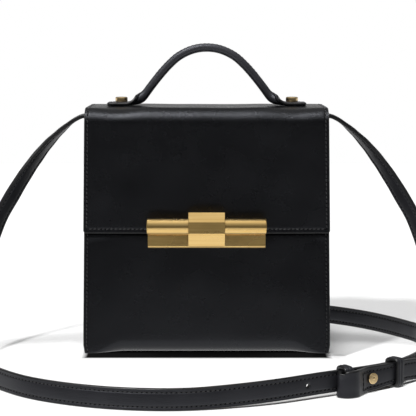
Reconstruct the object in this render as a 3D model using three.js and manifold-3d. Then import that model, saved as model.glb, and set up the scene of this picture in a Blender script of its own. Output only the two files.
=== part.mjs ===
// Small upright leather box bag with a flap, a top handle, a bar clasp and a long flat shoulder strap.
// Millimetres, +Z up. The origin is the middle of the base; the front faces -Y and +X is the bag's
// right-hand side as seen from the front. The bag stands on its base and the strap lies round it.
import * as THREE from 'three';
import { mergeVertices } from 'three/addons/utils/BufferGeometryUtils.js';
import Module from 'manifold-3d';

const wasm = await Module();
wasm.setup();

// Overall body
const BAG_H = 182.8; // floor to the top of the flap
const BAG_D = 70; // front panel to back panel, outside
const BASE_W = 184.3; // width at the base
const TOP_W = 177.4; // width at the top
const CROWN = 1.0; // how far the front and back panels swell at their middle
const GAP = 0.3; // clearance between pieces that touch

// Front, bottom and back panels in one piece
const WALL_T = 2.2;
const BASE_R = 10.8; // radius of the bottom folds in the middle of the bag
const SEAM_R = 0.8; // radius of the same folds where the side seams pinch them
const PINCH_EDGE = 4; // width next to the seam that stays pinched
const PINCH_RUN = 27; // distance over which the seam's pinch fades
const TUCK = 1.3; // how far the bottom corners draw in
const TUCK_H = 9; // height over which they draw in

// Side gussets
const GUSSET_T = 1.8;
const GUSSET_INSET = 0.8; // side wall behind the panels' cut edges
const GUSSET_FLANGE = 9; // width of the turned-in sewing flange
const GUSSET_TOP = 168; // height of the gusset's top edge

// Flap
const FLAP_T = 2.5;
const FLAP_CLEAR = 0.5; // flap to front panel
const FLAP_EDGE_Z = 90.5; // height of the flap's front edge
const FLAP_R = 11; // outside radius of the flap's top folds
const FLAP_OVER = 0.35; // how far the flap's sides stand past the body's
const FLAP_CORNER_R = 2.6; // rounding of the flap's front corners in plan
const FLAP_SEWN = 21; // overlap sewn to the back panel
const PRESS = 1.4; // dent in front of each handle tab

// Top handle, one folded strap
const HANDLE_SPAN = 149.2; // tab end to tab end
const HANDLE_RISE = 42; // arch above the tabs, to the middle of the thickness
const TAB_W = 24.5;
const TAB_T = 2.3;
const FOLD_W = 12.8; // width of the folded grip
const FOLD_T = 6.4; // thickness of the folded grip
const TAB_CORNER_R = 4;
const STUD_INSET = 10.4; // tab studs from the tabs' ends
const STUD_D = 9.3;
const STUD_H = 3.8;

// Clasp
const BAR_D = 12;
const BAR_L = 87;
const BAR_ROUND = 0.8; // rounding of the bar's ends
const BAR_Z = 97.3; // height of the bar's axis
const BAR_OFF = 9.5; // bar's axis in front of the flap
const FOOT_L = 22; // the bar's two feet on the flap
const FOOT_H = 9;
const FOOT_T = 1.2;
const POST_D = 5;
const PLATE_L = 86.2;
const PLATE_H = 9.8;
const PLATE_T = 7;
const PLATE_TOP = 90.4; // height of the fixed plate's top face
const PLATE_BEVEL = 1.2;
const LEVER_W = 26.7;
const LEVER_WALL = 2; // lever's wall round the bar
const LEVER_RISE = 10.9; // lever's top above the bar's axis
const LEVER_DROP = 14.5; // lever's lower edge below the bar's axis
const LEVER_LIP = 4.1; // depth of the lever's lower edge
const LEVER_BEVEL = 0.5;

// Shoulder strap
const STRAP_W = 14.5;
const STRAP_T = 3;
const EXIT_Z = 175; // height at which the strap leaves the side
const SIDE_REACH = 84; // how far the strap's loops stand out from the bag's sides
const FRONT_REACH = 190; // strap in front of the bag's middle, at its farthest
const BACK_REACH = 88; // strap's free end behind the bag's middle
const KEEPER_T = 2.2;
const KEEPER_W = 7.5; // keeper's width along the strap
const LOOP_W = 7; // captive keeper's width along the strap
const LOOP_AT = 19.5; // captive keeper before the strap stud, along the strap
const KEEPER_AT = 23; // free keeper past the strap stud, along the strap
const FLARE = 0.24; // widening of the strap's end fold, as a share of its width
const STRAP_STUD_D = 7.5;
const STRAP_STUD_H = 1.5;
const HOLE_D = 2.8;
const HOLE_PITCH = 48;
const HOLES_PAST = 3; // spare holes past the stud, towards the free end
const RIVET_D = 9;
const RIVET_H = 1.6;
const RIVET_Z = 148; // height of the strap's inside rivets

const black = { color: 0x141416, roughness: 0.45, metalness: 0 };
const edge = { color: 0x0c0c0d, roughness: 0.5, metalness: 0 };
const brass = { color: 0xc79a55, roughness: 0.28, metalness: 1 };

const bag = new THREE.Group();

function addPiece(name, geometry, look) {
  const mesh = new THREE.Mesh(geometry, new THREE.MeshStandardMaterial(look));
  mesh.name = name;
  bag.add(mesh);
  return mesh;
}

const clamp01 = (x) => Math.min(1, Math.max(0, x));
const lerp = (a, b, t) => a + (b - a) * t;
const smooth = (t) => clamp01(t) ** 2 * (3 - 2 * clamp01(t));
const range = (n, from = 0, to = 1) => Array.from({ length: n }, (_, i) => from + ((to - from) * i) / (n - 1));

// Closed-mesh helpers

function fromFaces(points, faces) {
  const geometry = new THREE.BufferGeometry();
  const at = points.flatMap((p) => [p.x, p.y, p.z]);
  let volume = 0;
  const [a, b, c] = [new THREE.Vector3(), new THREE.Vector3(), new THREE.Vector3()];
  for (const face of faces) {
    a.copy(points[face[0]]);
    b.copy(points[face[1]]);
    c.copy(points[face[2]]);
    volume += a.dot(b.cross(c)) / 6;
  }
  const index = faces.flatMap((f) => (volume < 0 ? [f[0], f[2], f[1]] : f));
  geometry.setAttribute('position', new THREE.Float32BufferAttribute(at, 3));
  geometry.setIndex(index);
  geometry.computeVertexNormals();
  return geometry;
}

// Two matching grids of points, the outside and the inside of a wall, closed round their edge.
function wallGeometry(outer, inner) {
  const rows = outer.length;
  const cols = outer[0].length;
  const points = [...outer.flat(), ...inner.flat()];
  const at = (side, i, j) => side * rows * cols + i * cols + j;
  const faces = [];
  const quad = (a, b, c, d) => faces.push([a, b, c], [a, c, d]);
  for (let i = 0; i < rows - 1; i++) {
    for (let j = 0; j < cols - 1; j++) {
      quad(at(0, i, j), at(0, i, j + 1), at(0, i + 1, j + 1), at(0, i + 1, j));
      quad(at(1, i, j), at(1, i + 1, j), at(1, i + 1, j + 1), at(1, i, j + 1));
    }
  }
  for (let j = 0; j < cols - 1; j++) {
    quad(at(0, 0, j), at(1, 0, j), at(1, 0, j + 1), at(0, 0, j + 1));
    quad(at(0, rows - 1, j), at(0, rows - 1, j + 1), at(1, rows - 1, j + 1), at(1, rows - 1, j));
  }
  for (let i = 0; i < rows - 1; i++) {
    quad(at(0, i, 0), at(0, i + 1, 0), at(1, i + 1, 0), at(1, i, 0));
    quad(at(0, i, cols - 1), at(1, i, cols - 1), at(1, i + 1, cols - 1), at(0, i + 1, cols - 1));
  }
  return fromFaces(points, faces);
}

// Rings of points joined into a tube with flat ends.
function tubeGeometry(rings) {
  const n = rings[0].length;
  const points = rings.flat();
  const faces = [];
  for (let i = 0; i < rings.length - 1; i++) {
    for (let j = 0; j < n; j++) {
      const k = (j + 1) % n;
      faces.push([i * n + j, i * n + k, (i + 1) * n + k], [i * n + j, (i + 1) * n + k, (i + 1) * n + j]);
    }
  }
  const last = (rings.length - 1) * n;
  for (let j = 1; j < n - 1; j++) {
    faces.push([0, j + 1, j], [last, last + j, last + j + 1]);
  }
  return fromFaces(points, faces);
}

function toSolid(geometry) {
  const bare = geometry.clone();
  for (const name of ['normal', 'uv']) bare.deleteAttribute(name);
  const merged = mergeVertices(bare, 1e-4);
  return new wasm.Manifold(
    new wasm.Mesh({
      numProp: 3,
      vertProperties: new Float32Array(merged.attributes.position.array),
      triVerts: new Uint32Array(merged.index.array),
    }),
  );
}

function fromSolid(solid) {
  const { vertProperties, triVerts } = solid.getMesh();
  const geometry = new THREE.BufferGeometry();
  geometry.setAttribute('position', new THREE.BufferAttribute(vertProperties, 3));
  geometry.setIndex(new THREE.BufferAttribute(triVerts, 1));
  geometry.computeVertexNormals();
  return geometry;
}

// The body's form

function halfWidth(z) {
  const tuck = TUCK * (1 - clamp01(z / TUCK_H)) ** 2;
  return lerp(BASE_W, TOP_W, z / BAG_H) / 2 - tuck;
}

const crown = (u, z) => CROWN * (1 - u * u) * Math.sin(Math.PI * clamp01(z / BAG_H));
const pinch = (u) => smooth((((1 - Math.abs(u)) * BASE_W) / 2 - PINCH_EDGE) / PINCH_RUN);
const WRAP_TOP = BAG_H - FLAP_R - GAP;
const side = (u) => Math.sin((u * Math.PI) / 2); // columns crowd towards the seams

// Stations down the straight part of the front and back, as shares; they crowd where the corners tuck in.
const DROP = [0, 0.25, 0.5, 0.75, 0.93, 0.965, 0.985, 1];

// The U of front, bottom and back at a share u of the half width, at a depth inside the outer face.
function bodyProfile(u, inset, top) {
  const r = Math.max(lerp(SEAM_R, BASE_R, pinch(u)) - inset, 0.4);
  const y = BAG_D / 2 - inset;
  const low = inset + r;
  const front = [];
  for (const t of DROP) front.push([-y, lerp(top, low, t)]);
  for (const t of range(5).slice(1, -1)) {
    const a = (t * Math.PI) / 2;
    front.push([-y + r - r * Math.cos(a), low - r * Math.sin(a)]);
  }
  const back = front.map(([py, pz]) => [-py, pz]).reverse();
  const base = range(4).map((t) => [lerp(-y + r, y - r, t), inset]);
  return [...front, ...base, ...back].map(([py, pz]) => [py + Math.sign(py) * crown(u, pz) * (pz > low ? 1 : 0), pz]);
}

function bodyWrap() {
  const columns = range(13, -1, 1).map(side);
  const sheet = (inset) =>
    columns.map((u) =>
      bodyProfile(u, inset, WRAP_TOP).map(([y, z]) => new THREE.Vector3(u * halfWidth(z), y, z)),
    );
  return wallGeometry(sheet(0), sheet(WALL_T));
}

const gussetFace = (z) => halfWidth(z) - GUSSET_INSET;

function gusset(sign) {
  const inset = WALL_T + GAP;
  const reach = [0, GUSSET_FLANGE / 2, GUSSET_FLANGE];
  const flangeSheet = (depth) =>
    reach.map((inward) => {
      const u = 1 - (inward + GUSSET_INSET) / (BASE_W / 2);
      return bodyProfile(u, inset + depth, GUSSET_TOP).map(
        ([y, z]) => new THREE.Vector3(sign * (gussetFace(z) - inward), y, z),
      );
    });
  const flange = wallGeometry(flangeSheet(0), flangeSheet(GUSSET_T));
  // The side wall's border lies inside the flange's thickness, and the two are joined.
  const border = inset + GUSSET_T / 2;
  const r = Math.max(SEAM_R - border, 0.6);
  const heights = [0, 0.3, 1, ...range(5, 1, (GUSSET_TOP - border) / r).slice(1)].map((t) => border + t * r);
  const halfDepth = (z) => {
    const under = clamp01(1 - (z - border) / r);
    return BAG_D / 2 - border - r * (1 - Math.sqrt(1 - under * under));
  };
  const wallSheet = (depth) =>
    heights.map((z) =>
      range(5, -1, 1).map((v) => new THREE.Vector3(sign * (gussetFace(z) - depth), v * halfDepth(z), z)),
    );
  const wall = wallGeometry(wallSheet(GAP / 2), wallSheet(GUSSET_T));
  return fromSolid(toSolid(flange).add(toSolid(wall)));
}

// The flap

const FLAP_BACK_Z = WRAP_TOP - FLAP_SEWN;
const flapFront = (inset) => -(BAG_D / 2 + FLAP_CLEAR + FLAP_T - inset);
const flapBack = (inset) => BAG_D / 2 + GAP + FLAP_T - inset;

function flapProfile(inset) {
  const r = FLAP_R - inset;
  const top = BAG_H - inset;
  const low = BAG_H - FLAP_R;
  const out = range(3).map((t) => [flapBack(inset), lerp(FLAP_BACK_Z, low, t)]);
  for (const t of range(6).slice(1, -1)) {
    const a = (t * Math.PI) / 2;
    out.push([flapBack(inset) - r + r * Math.cos(a), low + r * Math.sin(a)]);
  }
  for (const t of range(6)) out.push([lerp(flapBack(inset) - r, flapFront(inset) + r, t), top]);
  for (const t of range(6).slice(1, -1)) {
    const a = (t * Math.PI) / 2;
    out.push([flapFront(inset) + r - r * Math.sin(a), low + r * Math.cos(a)]);
  }
  for (const t of range(5)) out.push([flapFront(inset), lerp(low, FLAP_EDGE_Z + FLAP_CORNER_R, t)]);
  for (const t of [0.5, 0.85, 1]) out.push([flapFront(inset), FLAP_EDGE_Z + FLAP_CORNER_R * (1 - t)]);
  return out;
}

function flapHalf(z) {
  const corner = clamp01(1 - (z - FLAP_EDGE_Z) / FLAP_CORNER_R);
  return halfWidth(z) + FLAP_OVER - FLAP_CORNER_R * (1 - Math.sqrt(1 - corner * corner));
}

const STUD_X = HANDLE_SPAN / 2 - STUD_INSET;

// Dent in the top fold in front of each handle tab.
function press(x, y, z) {
  const near = Math.exp(-(((Math.abs(x) - STUD_X) / (TAB_W * 0.6)) ** 2));
  const forward = smooth((-y - TAB_W / 2) / (BAG_D / 2 - TAB_W / 2));
  return PRESS * near * forward * clamp01((z - (BAG_H - FLAP_R)) / FLAP_R);
}

function flap() {
  const columns = range(15, -1, 1).map(side);
  const outside = flapProfile(0);
  const sheet = (inset) =>
    columns.map((u) =>
      flapProfile(inset).map(([y, z], i) => {
        const x = u * flapHalf(outside[i][1]);
        const dent = press(x, outside[i][0], outside[i][1]);
        return new THREE.Vector3(x, y + Math.sign(y) * crown(u, z), z - dent);
      }),
    );
  return wallGeometry(sheet(0), sheet(FLAP_T));
}

// Handle: shares of half the span and of the rise, and how far the strap's edges are folded over
const ARCH = [
  { along: 0, up: 1, fold: 1 },
  { along: 0.134, up: 0.968, fold: 1 },
  { along: 0.275, up: 0.853, fold: 1 },
  { along: 0.379, up: 0.695, fold: 1 },
  { along: 0.481, up: 0.493, fold: 1 },
  { along: 0.567, up: 0.3, fold: 1 },
  { along: 0.627, up: 0.16, fold: 0.92 },
  { along: 0.69, up: 0.055, fold: 0.35 },
  { along: 0.771, up: 0.007, fold: 0.04 },
  { along: 0.845, up: 0, fold: 0 },
  { along: 0.965, up: 0, fold: 0 },
  { along: 1, up: 0, fold: 0 },
];
const TAB_Z = BAG_H + GAP + TAB_T / 2;

function handle() {
  const half = ARCH.map((row) => ({ ...row, x: (row.along * HANDLE_SPAN) / 2, z: TAB_Z + row.up * HANDLE_RISE }));
  const rows = [...half.slice(1).reverse().map((row) => ({ ...row, x: -row.x })), ...half];
  // The curve carries how far the strap is folded in its y, as the arch itself lies in the x-z plane.
  const points = rows.map((row) => new THREE.Vector3(row.x, row.fold, row.z));
  const curve = new THREE.CatmullRomCurve3(points, false, 'centripetal');
  const rings = [];
  for (const t of range(43)) {
    const p = curve.getPoint(t);
    const d = curve.getTangent(t);
    const fold = clamp01(p.y);
    const across = new THREE.Vector3(-d.z, 0, d.x).normalize();
    const toEnd = HANDLE_SPAN / 2 - Math.abs(p.x);
    const corner = clamp01(1 - toEnd / TAB_CORNER_R);
    const halfW = lerp(TAB_W, FOLD_W, fold) / 2 - TAB_CORNER_R * (1 - Math.sqrt(1 - corner * corner));
    const halfT = lerp(TAB_T, FOLD_T, fold) / 2;
    const ring = [];
    const steps = 12;
    for (let k = 0; k < steps; k++) {
      const a = ((k + 0.5) / steps) * Math.PI * 2;
      const power = lerp(0.25, 0.62, fold);
      const wide = Math.sign(Math.cos(a)) * Math.abs(Math.cos(a)) ** power * halfW;
      const thick = Math.sign(Math.sin(a)) * Math.abs(Math.sin(a)) ** power * halfT;
      ring.push(new THREE.Vector3(p.x, wide, p.z).addScaledVector(across, thick));
    }
    rings.push(ring);
  }
  return tubeGeometry(rings);
}

// A turned head with its flat back on the plane z = 0 and its axis along +Z.
function headGeometry(diameter, height) {
  const r = diameter / 2;
  const outline = [
    [0, 0],
    [r * 0.94, 0],
    [r, height * 0.2],
    [r, height * 0.62],
    [r * 0.86, height * 0.93],
    [r * 0.4, height],
    [0, height],
  ];
  const lathe = new THREE.LatheGeometry(outline.map(([x, y]) => new THREE.Vector2(x, y)), 16);
  lathe.rotateX(Math.PI / 2);
  return fromSolid(toSolid(lathe));
}

// Clasp

const flapFace = flapFront(0) - CROWN;
const BAR_Y = flapFace - BAR_OFF;

function claspBar() {
  const r = BAR_D / 2;
  const l = BAR_L / 2;
  const outline = [
    [0, -l],
    [r - BAR_ROUND, -l],
    [r, -l + BAR_ROUND],
    [r, l - BAR_ROUND],
    [r - BAR_ROUND, l],
    [0, l],
  ];
  const bar = new THREE.LatheGeometry(outline.map(([x, y]) => new THREE.Vector2(x, y)), 28);
  bar.rotateZ(-Math.PI / 2);
  bar.translate(0, BAR_Y, BAR_Z);
  let solid = toSolid(bar);
  const footX = (LEVER_W + BAR_L) / 4;
  for (const sign of [-1, 1]) {
    const foot = new THREE.BoxGeometry(FOOT_L, FOOT_T, FOOT_H);
    foot.translate(sign * footX, flapFace - GAP - FOOT_T / 2, BAR_Z);
    const length = BAR_OFF - GAP - FOOT_T / 2;
    const post = new THREE.CylinderGeometry(POST_D / 2, POST_D / 2, length, 12);
    post.translate(sign * footX, BAR_Y + length / 2, BAR_Z);
    solid = solid.add(toSolid(foot)).add(toSolid(post));
  }
  return fromSolid(solid);
}

function outlineShape(points) {
  const shape = new THREE.Shape();
  points.forEach(([y, z], i) => (i ? shape.lineTo(y, z) : shape.moveTo(y, z)));
  shape.closePath();
  return shape;
}

// Extrudes a y-z outline along X, centred, with small bevels at both ends.
function alongX(shape, length, bevel, steps) {
  const geometry = new THREE.ExtrudeGeometry(shape, {
    depth: length - 2 * bevel,
    bevelEnabled: bevel > 0,
    bevelThickness: bevel,
    bevelSize: bevel,
    bevelOffset: -bevel,
    bevelSegments: 1,
    curveSegments: steps,
  });
  geometry.translate(0, 0, -(length - 2 * bevel) / 2);
  geometry.rotateX(Math.PI / 2);
  geometry.rotateZ(Math.PI / 2);
  return geometry;
}

function claspPlate() {
  const back = -(BAG_D / 2 + CROWN + GAP);
  const front = back - PLATE_T;
  const low = PLATE_TOP - PLATE_H;
  const b = PLATE_BEVEL;
  const outline = [
    [back, low],
    [back, PLATE_TOP],
    [front + b * 0.4, PLATE_TOP],
    [front, PLATE_TOP - b * 0.4],
    [front, low + b],
    [front + b, low],
  ];
  return alongX(outlineShape(outline), PLATE_L, PLATE_BEVEL * 0.6, 1);
}

// The lever's outline about the bar's axis: a sloping top face, an upright front, a sloping lower face.
function claspLever() {
  const bore = BAR_D / 2 + GAP;
  const sleeve = bore + LEVER_WALL - GAP;
  const outline = [
    [-sleeve * 0.33, LEVER_RISE],
    [-sleeve, LEVER_RISE * 0.37],
    [-sleeve, -LEVER_DROP * 0.3],
    [-sleeve * 0.2, -LEVER_DROP],
    [-sleeve * 0.2 + LEVER_LIP, -LEVER_DROP],
    [-sleeve * 0.2 + LEVER_LIP, -sleeve * 0.97],
  ];
  for (const t of range(11).slice(1)) {
    const a = lerp(-Math.PI / 2 + 0.42, Math.PI / 2 - 0.2, t);
    outline.push([sleeve * Math.cos(a), sleeve * Math.sin(a)]);
  }
  const body = alongX(outlineShape(outline), LEVER_W, LEVER_BEVEL, 1);
  const cut = new THREE.CylinderGeometry(bore, bore, LEVER_W + 2, 28);
  cut.rotateZ(Math.PI / 2);
  return fromSolid(toSolid(body).subtract(toSolid(cut)));
}

// Shoulder strap

// Both strands leave the sides edge-on, turn as they fall, and land on edge. Shares: out of SIDE_REACH
// beyond the bag's side, fore of FRONT_REACH, up of EXIT_Z; across is the strap's width direction for
// the left strand, and the right strand is its mirror image.
const HANG = [
  { out: 0.048, fore: 0, up: 1.0, across: [0, -1, 0] },
  { out: 0.103, fore: 0, up: 0.99, across: [0, -1, 0] },
  { out: 0.157, fore: 0, up: 0.974, across: [0, -1, 0.02] },
  { out: 0.265, fore: 0, up: 0.93, across: [-0.12, -0.97, 0.1] },
  { out: 0.375, fore: 0.002, up: 0.876, across: [-0.26, -0.94, 0.18] },
  { out: 0.485, fore: 0.011, up: 0.81, across: [-0.38, -0.89, 0.25] },
  { out: 0.596, fore: 0.021, up: 0.733, across: [-0.49, -0.82, 0.27] },
  { out: 0.704, fore: 0.032, up: 0.648, across: [-0.56, -0.77, 0.29] },
  { out: 0.806, fore: 0.042, up: 0.559, across: [-0.52, -0.8, 0.3] },
  { out: 0.907, fore: 0.084, up: 0.417, across: [-0.48, -0.78, 0.4] },
  { out: 0.984, fore: 0.158, up: 0.269, across: [-0.52, -0.32, 0.78] },
  { out: 1.002, fore: 0.263, up: 0.143, across: [-0.28, -0.08, 0.95] },
];

// Where the long strap lies on the floor, from the left strand round the front and the right to its
// free end. Row STUD_ROW is at the strap stud. Shares: x of the strap's reach from the bag's middle, y of
// FRONT_REACH before the bag's middle and of BACK_REACH behind it, lift of the keepers' lift.
const FLOOR = [
  { x: -0.975, y: -0.41, lift: 1.3 },
  { x: -0.914, y: -0.553, lift: 0.06 },
  { x: -0.871, y: -0.64, lift: 0 },
  { x: -0.807, y: -0.721, lift: 0 },
  { x: -0.688, y: -0.836, lift: 0 },
  { x: -0.542, y: -0.921, lift: 0 },
  { x: -0.36, y: -0.984, lift: 0 },
  { x: -0.184, y: -1.008, lift: 0 },
  { x: -0.053, y: -1.003, lift: 0.06 },
  { x: 0.078, y: -0.979, lift: 0.35 },
  { x: 0.251, y: -0.927, lift: 0.75 },
  { x: 0.435, y: -0.84, lift: 1 },
  { x: 0.618, y: -0.747, lift: 1 },
  { x: 0.706, y: -0.692, lift: 1 },
  { x: 0.764, y: -0.637, lift: 0.9 },
  { x: 0.828, y: -0.545, lift: 0.6 },
  { x: 0.891, y: -0.42, lift: 0.2 },
  { x: 0.936, y: -0.27, lift: 0 },
  { x: 0.952, y: -0.12, lift: 0 },
  { x: 0.939, y: 0.035, lift: 0 },
  { x: 0.913, y: 0.141, lift: 0 },
  { x: 0.823, y: 0.409, lift: 0 },
  { x: 0.724, y: 0.633, lift: 0 },
  { x: 0.591, y: 0.838, lift: 0 },
  { x: 0.493, y: 0.925, lift: 0 },
  { x: 0.393, y: 1, lift: 0 },
];

// The short strap's landing, outside the long one, from the right strand to the free keeper.
const LANDING = [
  { x: 1.01, y: -0.347, lift: 1.7 },
  { x: 0.986, y: -0.432, lift: 0.25 },
  { x: 0.943, y: -0.508, lift: 0.1 },
  { x: 0.882, y: -0.572, lift: 0.3 },
  { x: 0.816, y: -0.624, lift: 0.7 },
];

// The short strap past the keeper, beside the long one: along is measured from the stud in LOOP_AT,
// off in strap thicknesses from the long strap's middle, lift as above and wide a share of FLARE.
const FOLD = [
  { along: 1.4, off: 1.14, lift: 0.95, wide: 0 },
  { along: 1.05, off: 1.12, lift: 1, wide: 0 },
  { along: 0.6, off: 1.12, lift: 0.95, wide: 0.15 },
  { along: 0.2, off: 1.14, lift: 0.75, wide: 0.5 },
  { along: -0.18, off: 1.2, lift: 0.65, wide: 0.65 },
  { along: -0.37, off: 1.75, lift: 0.5, wide: 0.8 },
  { along: -0.52, off: 2.25, lift: 0.4, wide: 0.9 },
  { along: -0.66, off: 2.8, lift: 0.3, wide: 1 },
  { along: -0.8, off: 3.4, lift: 0.2, wide: 1 },
  { along: -0.98, off: 3.6, lift: 0.2, wide: 1 },
  { along: -1.15, off: 3.4, lift: 0.2, wide: 1 },
  { along: -1.28, off: 2.75, lift: 0.3, wide: 0.85 },
  { along: -1.33, off: 2.0, lift: 0.6, wide: 0.5 },
  { along: -1.26, off: 1.3, lift: 1, wide: 0.05 },
  { along: -1.05, off: 1.12, lift: 1, wide: 0 },
  { along: -0.82, off: 1.1, lift: 1, wide: 0 },
  { along: -0.6, off: 1.1, lift: 1, wide: 0 },
];

const STUD_ROW = 12;
const LIFT = KEEPER_T + GAP;
const REACH = halfWidth(EXIT_Z) + SIDE_REACH;
const up = new THREE.Vector3(0, 0, 1);
const onFloor = (lift) => STRAP_W / 2 + LIFT * lift;

function strand(sign) {
  const half = halfWidth(EXIT_Z);
  const inside = gussetFace(RIVET_Z) - GUSSET_T - GAP - STRAP_T / 2;
  const start = [
    { p: [inside - GAP, 0, RIVET_Z - RIVET_D], across: [0, -1, 0] },
    { p: [inside - GAP, 0, GUSSET_TOP - STRAP_T * 2], across: [0, -1, 0] },
    { p: [inside - GAP, 0, GUSSET_TOP + STRAP_T * 0.7], across: [0, -1, 0] },
    { p: [inside + STRAP_T / 2, 0, EXIT_Z - STRAP_T * 0.4], across: [0, -1, 0] },
  ];
  const rows = HANG.map((row) => ({
    p: [half + row.out * SIDE_REACH, -row.fore * FRONT_REACH, row.up * EXIT_Z],
    across: row.across,
  }));
  return [...start, ...rows].map(({ p, across }) => ({
    at: new THREE.Vector3(sign * p[0], p[1], p[2]),
    across: new THREE.Vector3(-sign * across[0], across[1], across[2]),
    wide: 1,
  }));
}

function lying(rows) {
  return rows.map((row) => ({
    at: new THREE.Vector3(
      row.x * REACH,
      row.y * (row.y < 0 ? FRONT_REACH : BACK_REACH),
      onFloor(row.lift),
    ),
    across: up.clone(),
    wide: 1,
  }));
}

// A smooth route through the rows, with its width direction and its tangent at any place.
function makeRoute(rows) {
  const curve = new THREE.CatmullRomCurve3(rows.map((row) => row.at), false, 'centripetal');
  curve.arcLengthDivisions = 1200;
  const across = new THREE.CatmullRomCurve3(rows.map((row) => row.across), false, 'catmullrom', 0);
  const length = curve.getLength();
  const frame = (distance) => {
    const t = curve.getUtoTmapping(clamp01(distance / length));
    const at = curve.getPoint(t);
    const along = curve.getTangent(t);
    const wide = across.getPoint(t);
    wide.addScaledVector(along, -wide.dot(along)).normalize();
    const i = Math.min(Math.floor(t * (rows.length - 1)), rows.length - 2);
    const share = t * (rows.length - 1) - i;
    const scale = lerp(rows[i].wide, rows[i + 1].wide, share);
    const out = along.clone().cross(wide).normalize();
    at.z = Math.max(at.z, (Math.abs(wide.z) * STRAP_W * scale + Math.abs(out.z) * STRAP_T) / 2);
    return { at, along, across: wide, out, scale };
  };
  const lengths = curve.getLengths(curve.arcLengthDivisions);
  const upTo = (row) => lengths[Math.round((row / (rows.length - 1)) * curve.arcLengthDivisions)];
  return { length, frame, upTo };
}

function strapGeometry(route, stations) {
  const w = STRAP_W / 2;
  const h = STRAP_T / 2;
  const e = STRAP_T * 0.22;
  const section = [
    [-w, -h + e],
    [-w, h - e],
    [-w + e, h],
    [w - e, h],
    [w, h - e],
    [w, -h + e],
    [w - e, -h],
    [-w + e, -h],
  ];
  const rings = stations.map((distance) => {
    const { at, across, out, scale } = route.frame(distance);
    return section.map(([a, b]) => at.clone().addScaledVector(across, a * scale).addScaledVector(out, b));
  });
  return tubeGeometry(rings);
}

const longRows = [...strand(-1), ...lying(FLOOR)];
const longRoute = makeRoute(longRows);
const STUD_S = longRoute.upTo(strand(-1).length + STUD_ROW);

// A place beside the long strap: s along it from the stud, off outwards from its middle.
function beside(s, off, lift) {
  const frame = longRoute.frame(STUD_S + s);
  const out = frame.along.clone().cross(up).normalize();
  const at = frame.at.clone().addScaledVector(out, off);
  at.z = onFloor(lift);
  return { at, out, along: frame.along };
}

function strapLong() {
  const stations = range(112, 0, longRoute.length);
  let solid = toSolid(strapGeometry(longRoute, stations));
  for (let k = -1; k <= HOLES_PAST; k++) {
    const { at, along } = longRoute.frame(STUD_S + k * HOLE_PITCH);
    const hole = new THREE.CylinderGeometry(HOLE_D / 2, HOLE_D / 2, STRAP_T * 3, 10);
    const out = along.clone().cross(up).normalize();
    hole.applyQuaternion(new THREE.Quaternion().setFromUnitVectors(up.clone().set(0, 1, 0), out));
    hole.translate(at.x, at.y, at.z);
    solid = solid.subtract(toSolid(hole));
  }
  return fromSolid(solid);
}

function strapShort() {
  const fold = FOLD.map((row) => ({
    at: beside(row.along * LOOP_AT, row.off * STRAP_T, row.lift).at,
    across: up.clone(),
    wide: 1 + FLARE * row.wide,
  }));
  const rows = [...strand(1), ...lying(LANDING), ...fold];
  const route = makeRoute(rows);
  const foldStart = route.length - LOOP_AT * 3.6;
  const stations = [...range(48, 0, foldStart).slice(0, -1), ...range(38, foldStart, route.length)];
  return strapGeometry(route, stations);
}

// A keeper is an upright ring round the straps, standing on the floor.
function keeperGeometry(s, inner, outer, width) {
  const lowIn = LIFT - GAP;
  const highIn = LIFT + STRAP_W + GAP;
  const ringPath = (grow, r) => {
    const [x0, x1, y0, y1] = [inner - grow, outer + grow, lowIn - grow, highIn + grow];
    const path = new THREE.Shape();
    path.moveTo(x0 + r, y0);
    path.lineTo(x1 - r, y0);
    path.absarc(x1 - r, y0 + r, r, -Math.PI / 2, 0);
    path.lineTo(x1, y1 - r);
    path.absarc(x1 - r, y1 - r, r, 0, Math.PI / 2);
    path.lineTo(x0 + r, y1);
    path.absarc(x0 + r, y1 - r, r, Math.PI / 2, Math.PI);
    path.lineTo(x0, y0 + r);
    path.absarc(x0 + r, y0 + r, r, Math.PI, Math.PI * 1.5);
    return path;
  };
  const shape = ringPath(KEEPER_T, KEEPER_T * 0.8);
  shape.holes.push(ringPath(0, 0.3));
  const ring = new THREE.ExtrudeGeometry(shape, { depth: width, bevelEnabled: false, curveSegments: 3 });
  ring.translate(0, 0, -width / 2);
  const { at, out, along } = beside(s, 0, 1);
  const flat = along.clone().setZ(0).normalize();
  ring.applyMatrix4(new THREE.Matrix4().makeBasis(out, up, flat.clone().negate()));
  ring.translate(at.x, at.y, 0);
  return fromSolid(toSolid(ring));
}

function placeHead(geometry, at, out) {
  geometry.applyQuaternion(new THREE.Quaternion().setFromUnitVectors(up, out));
  geometry.translate(at.x, at.y, at.z);
  return geometry;
}

// Pieces

addPiece('body_wrap', bodyWrap(), black);
addPiece('gusset_left', gusset(-1), black);
addPiece('gusset_right', gusset(1), black);
addPiece('flap', flap(), black);
addPiece('handle', handle(), black);
for (const [name, sign] of [['left', -1], ['right', 1]]) {
  const stud = headGeometry(STUD_D, STUD_H);
  stud.translate(sign * STUD_X, 0, BAG_H + 2 * GAP + TAB_T);
  addPiece(`handle_stud_${name}`, stud, brass);
}

addPiece('clasp_bar', claspBar(), brass);
addPiece('clasp_plate', claspPlate(), brass);
const lever = addPiece('clasp_lever', claspLever(), brass);
lever.position.set(0, BAR_Y, BAR_Z);

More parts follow.
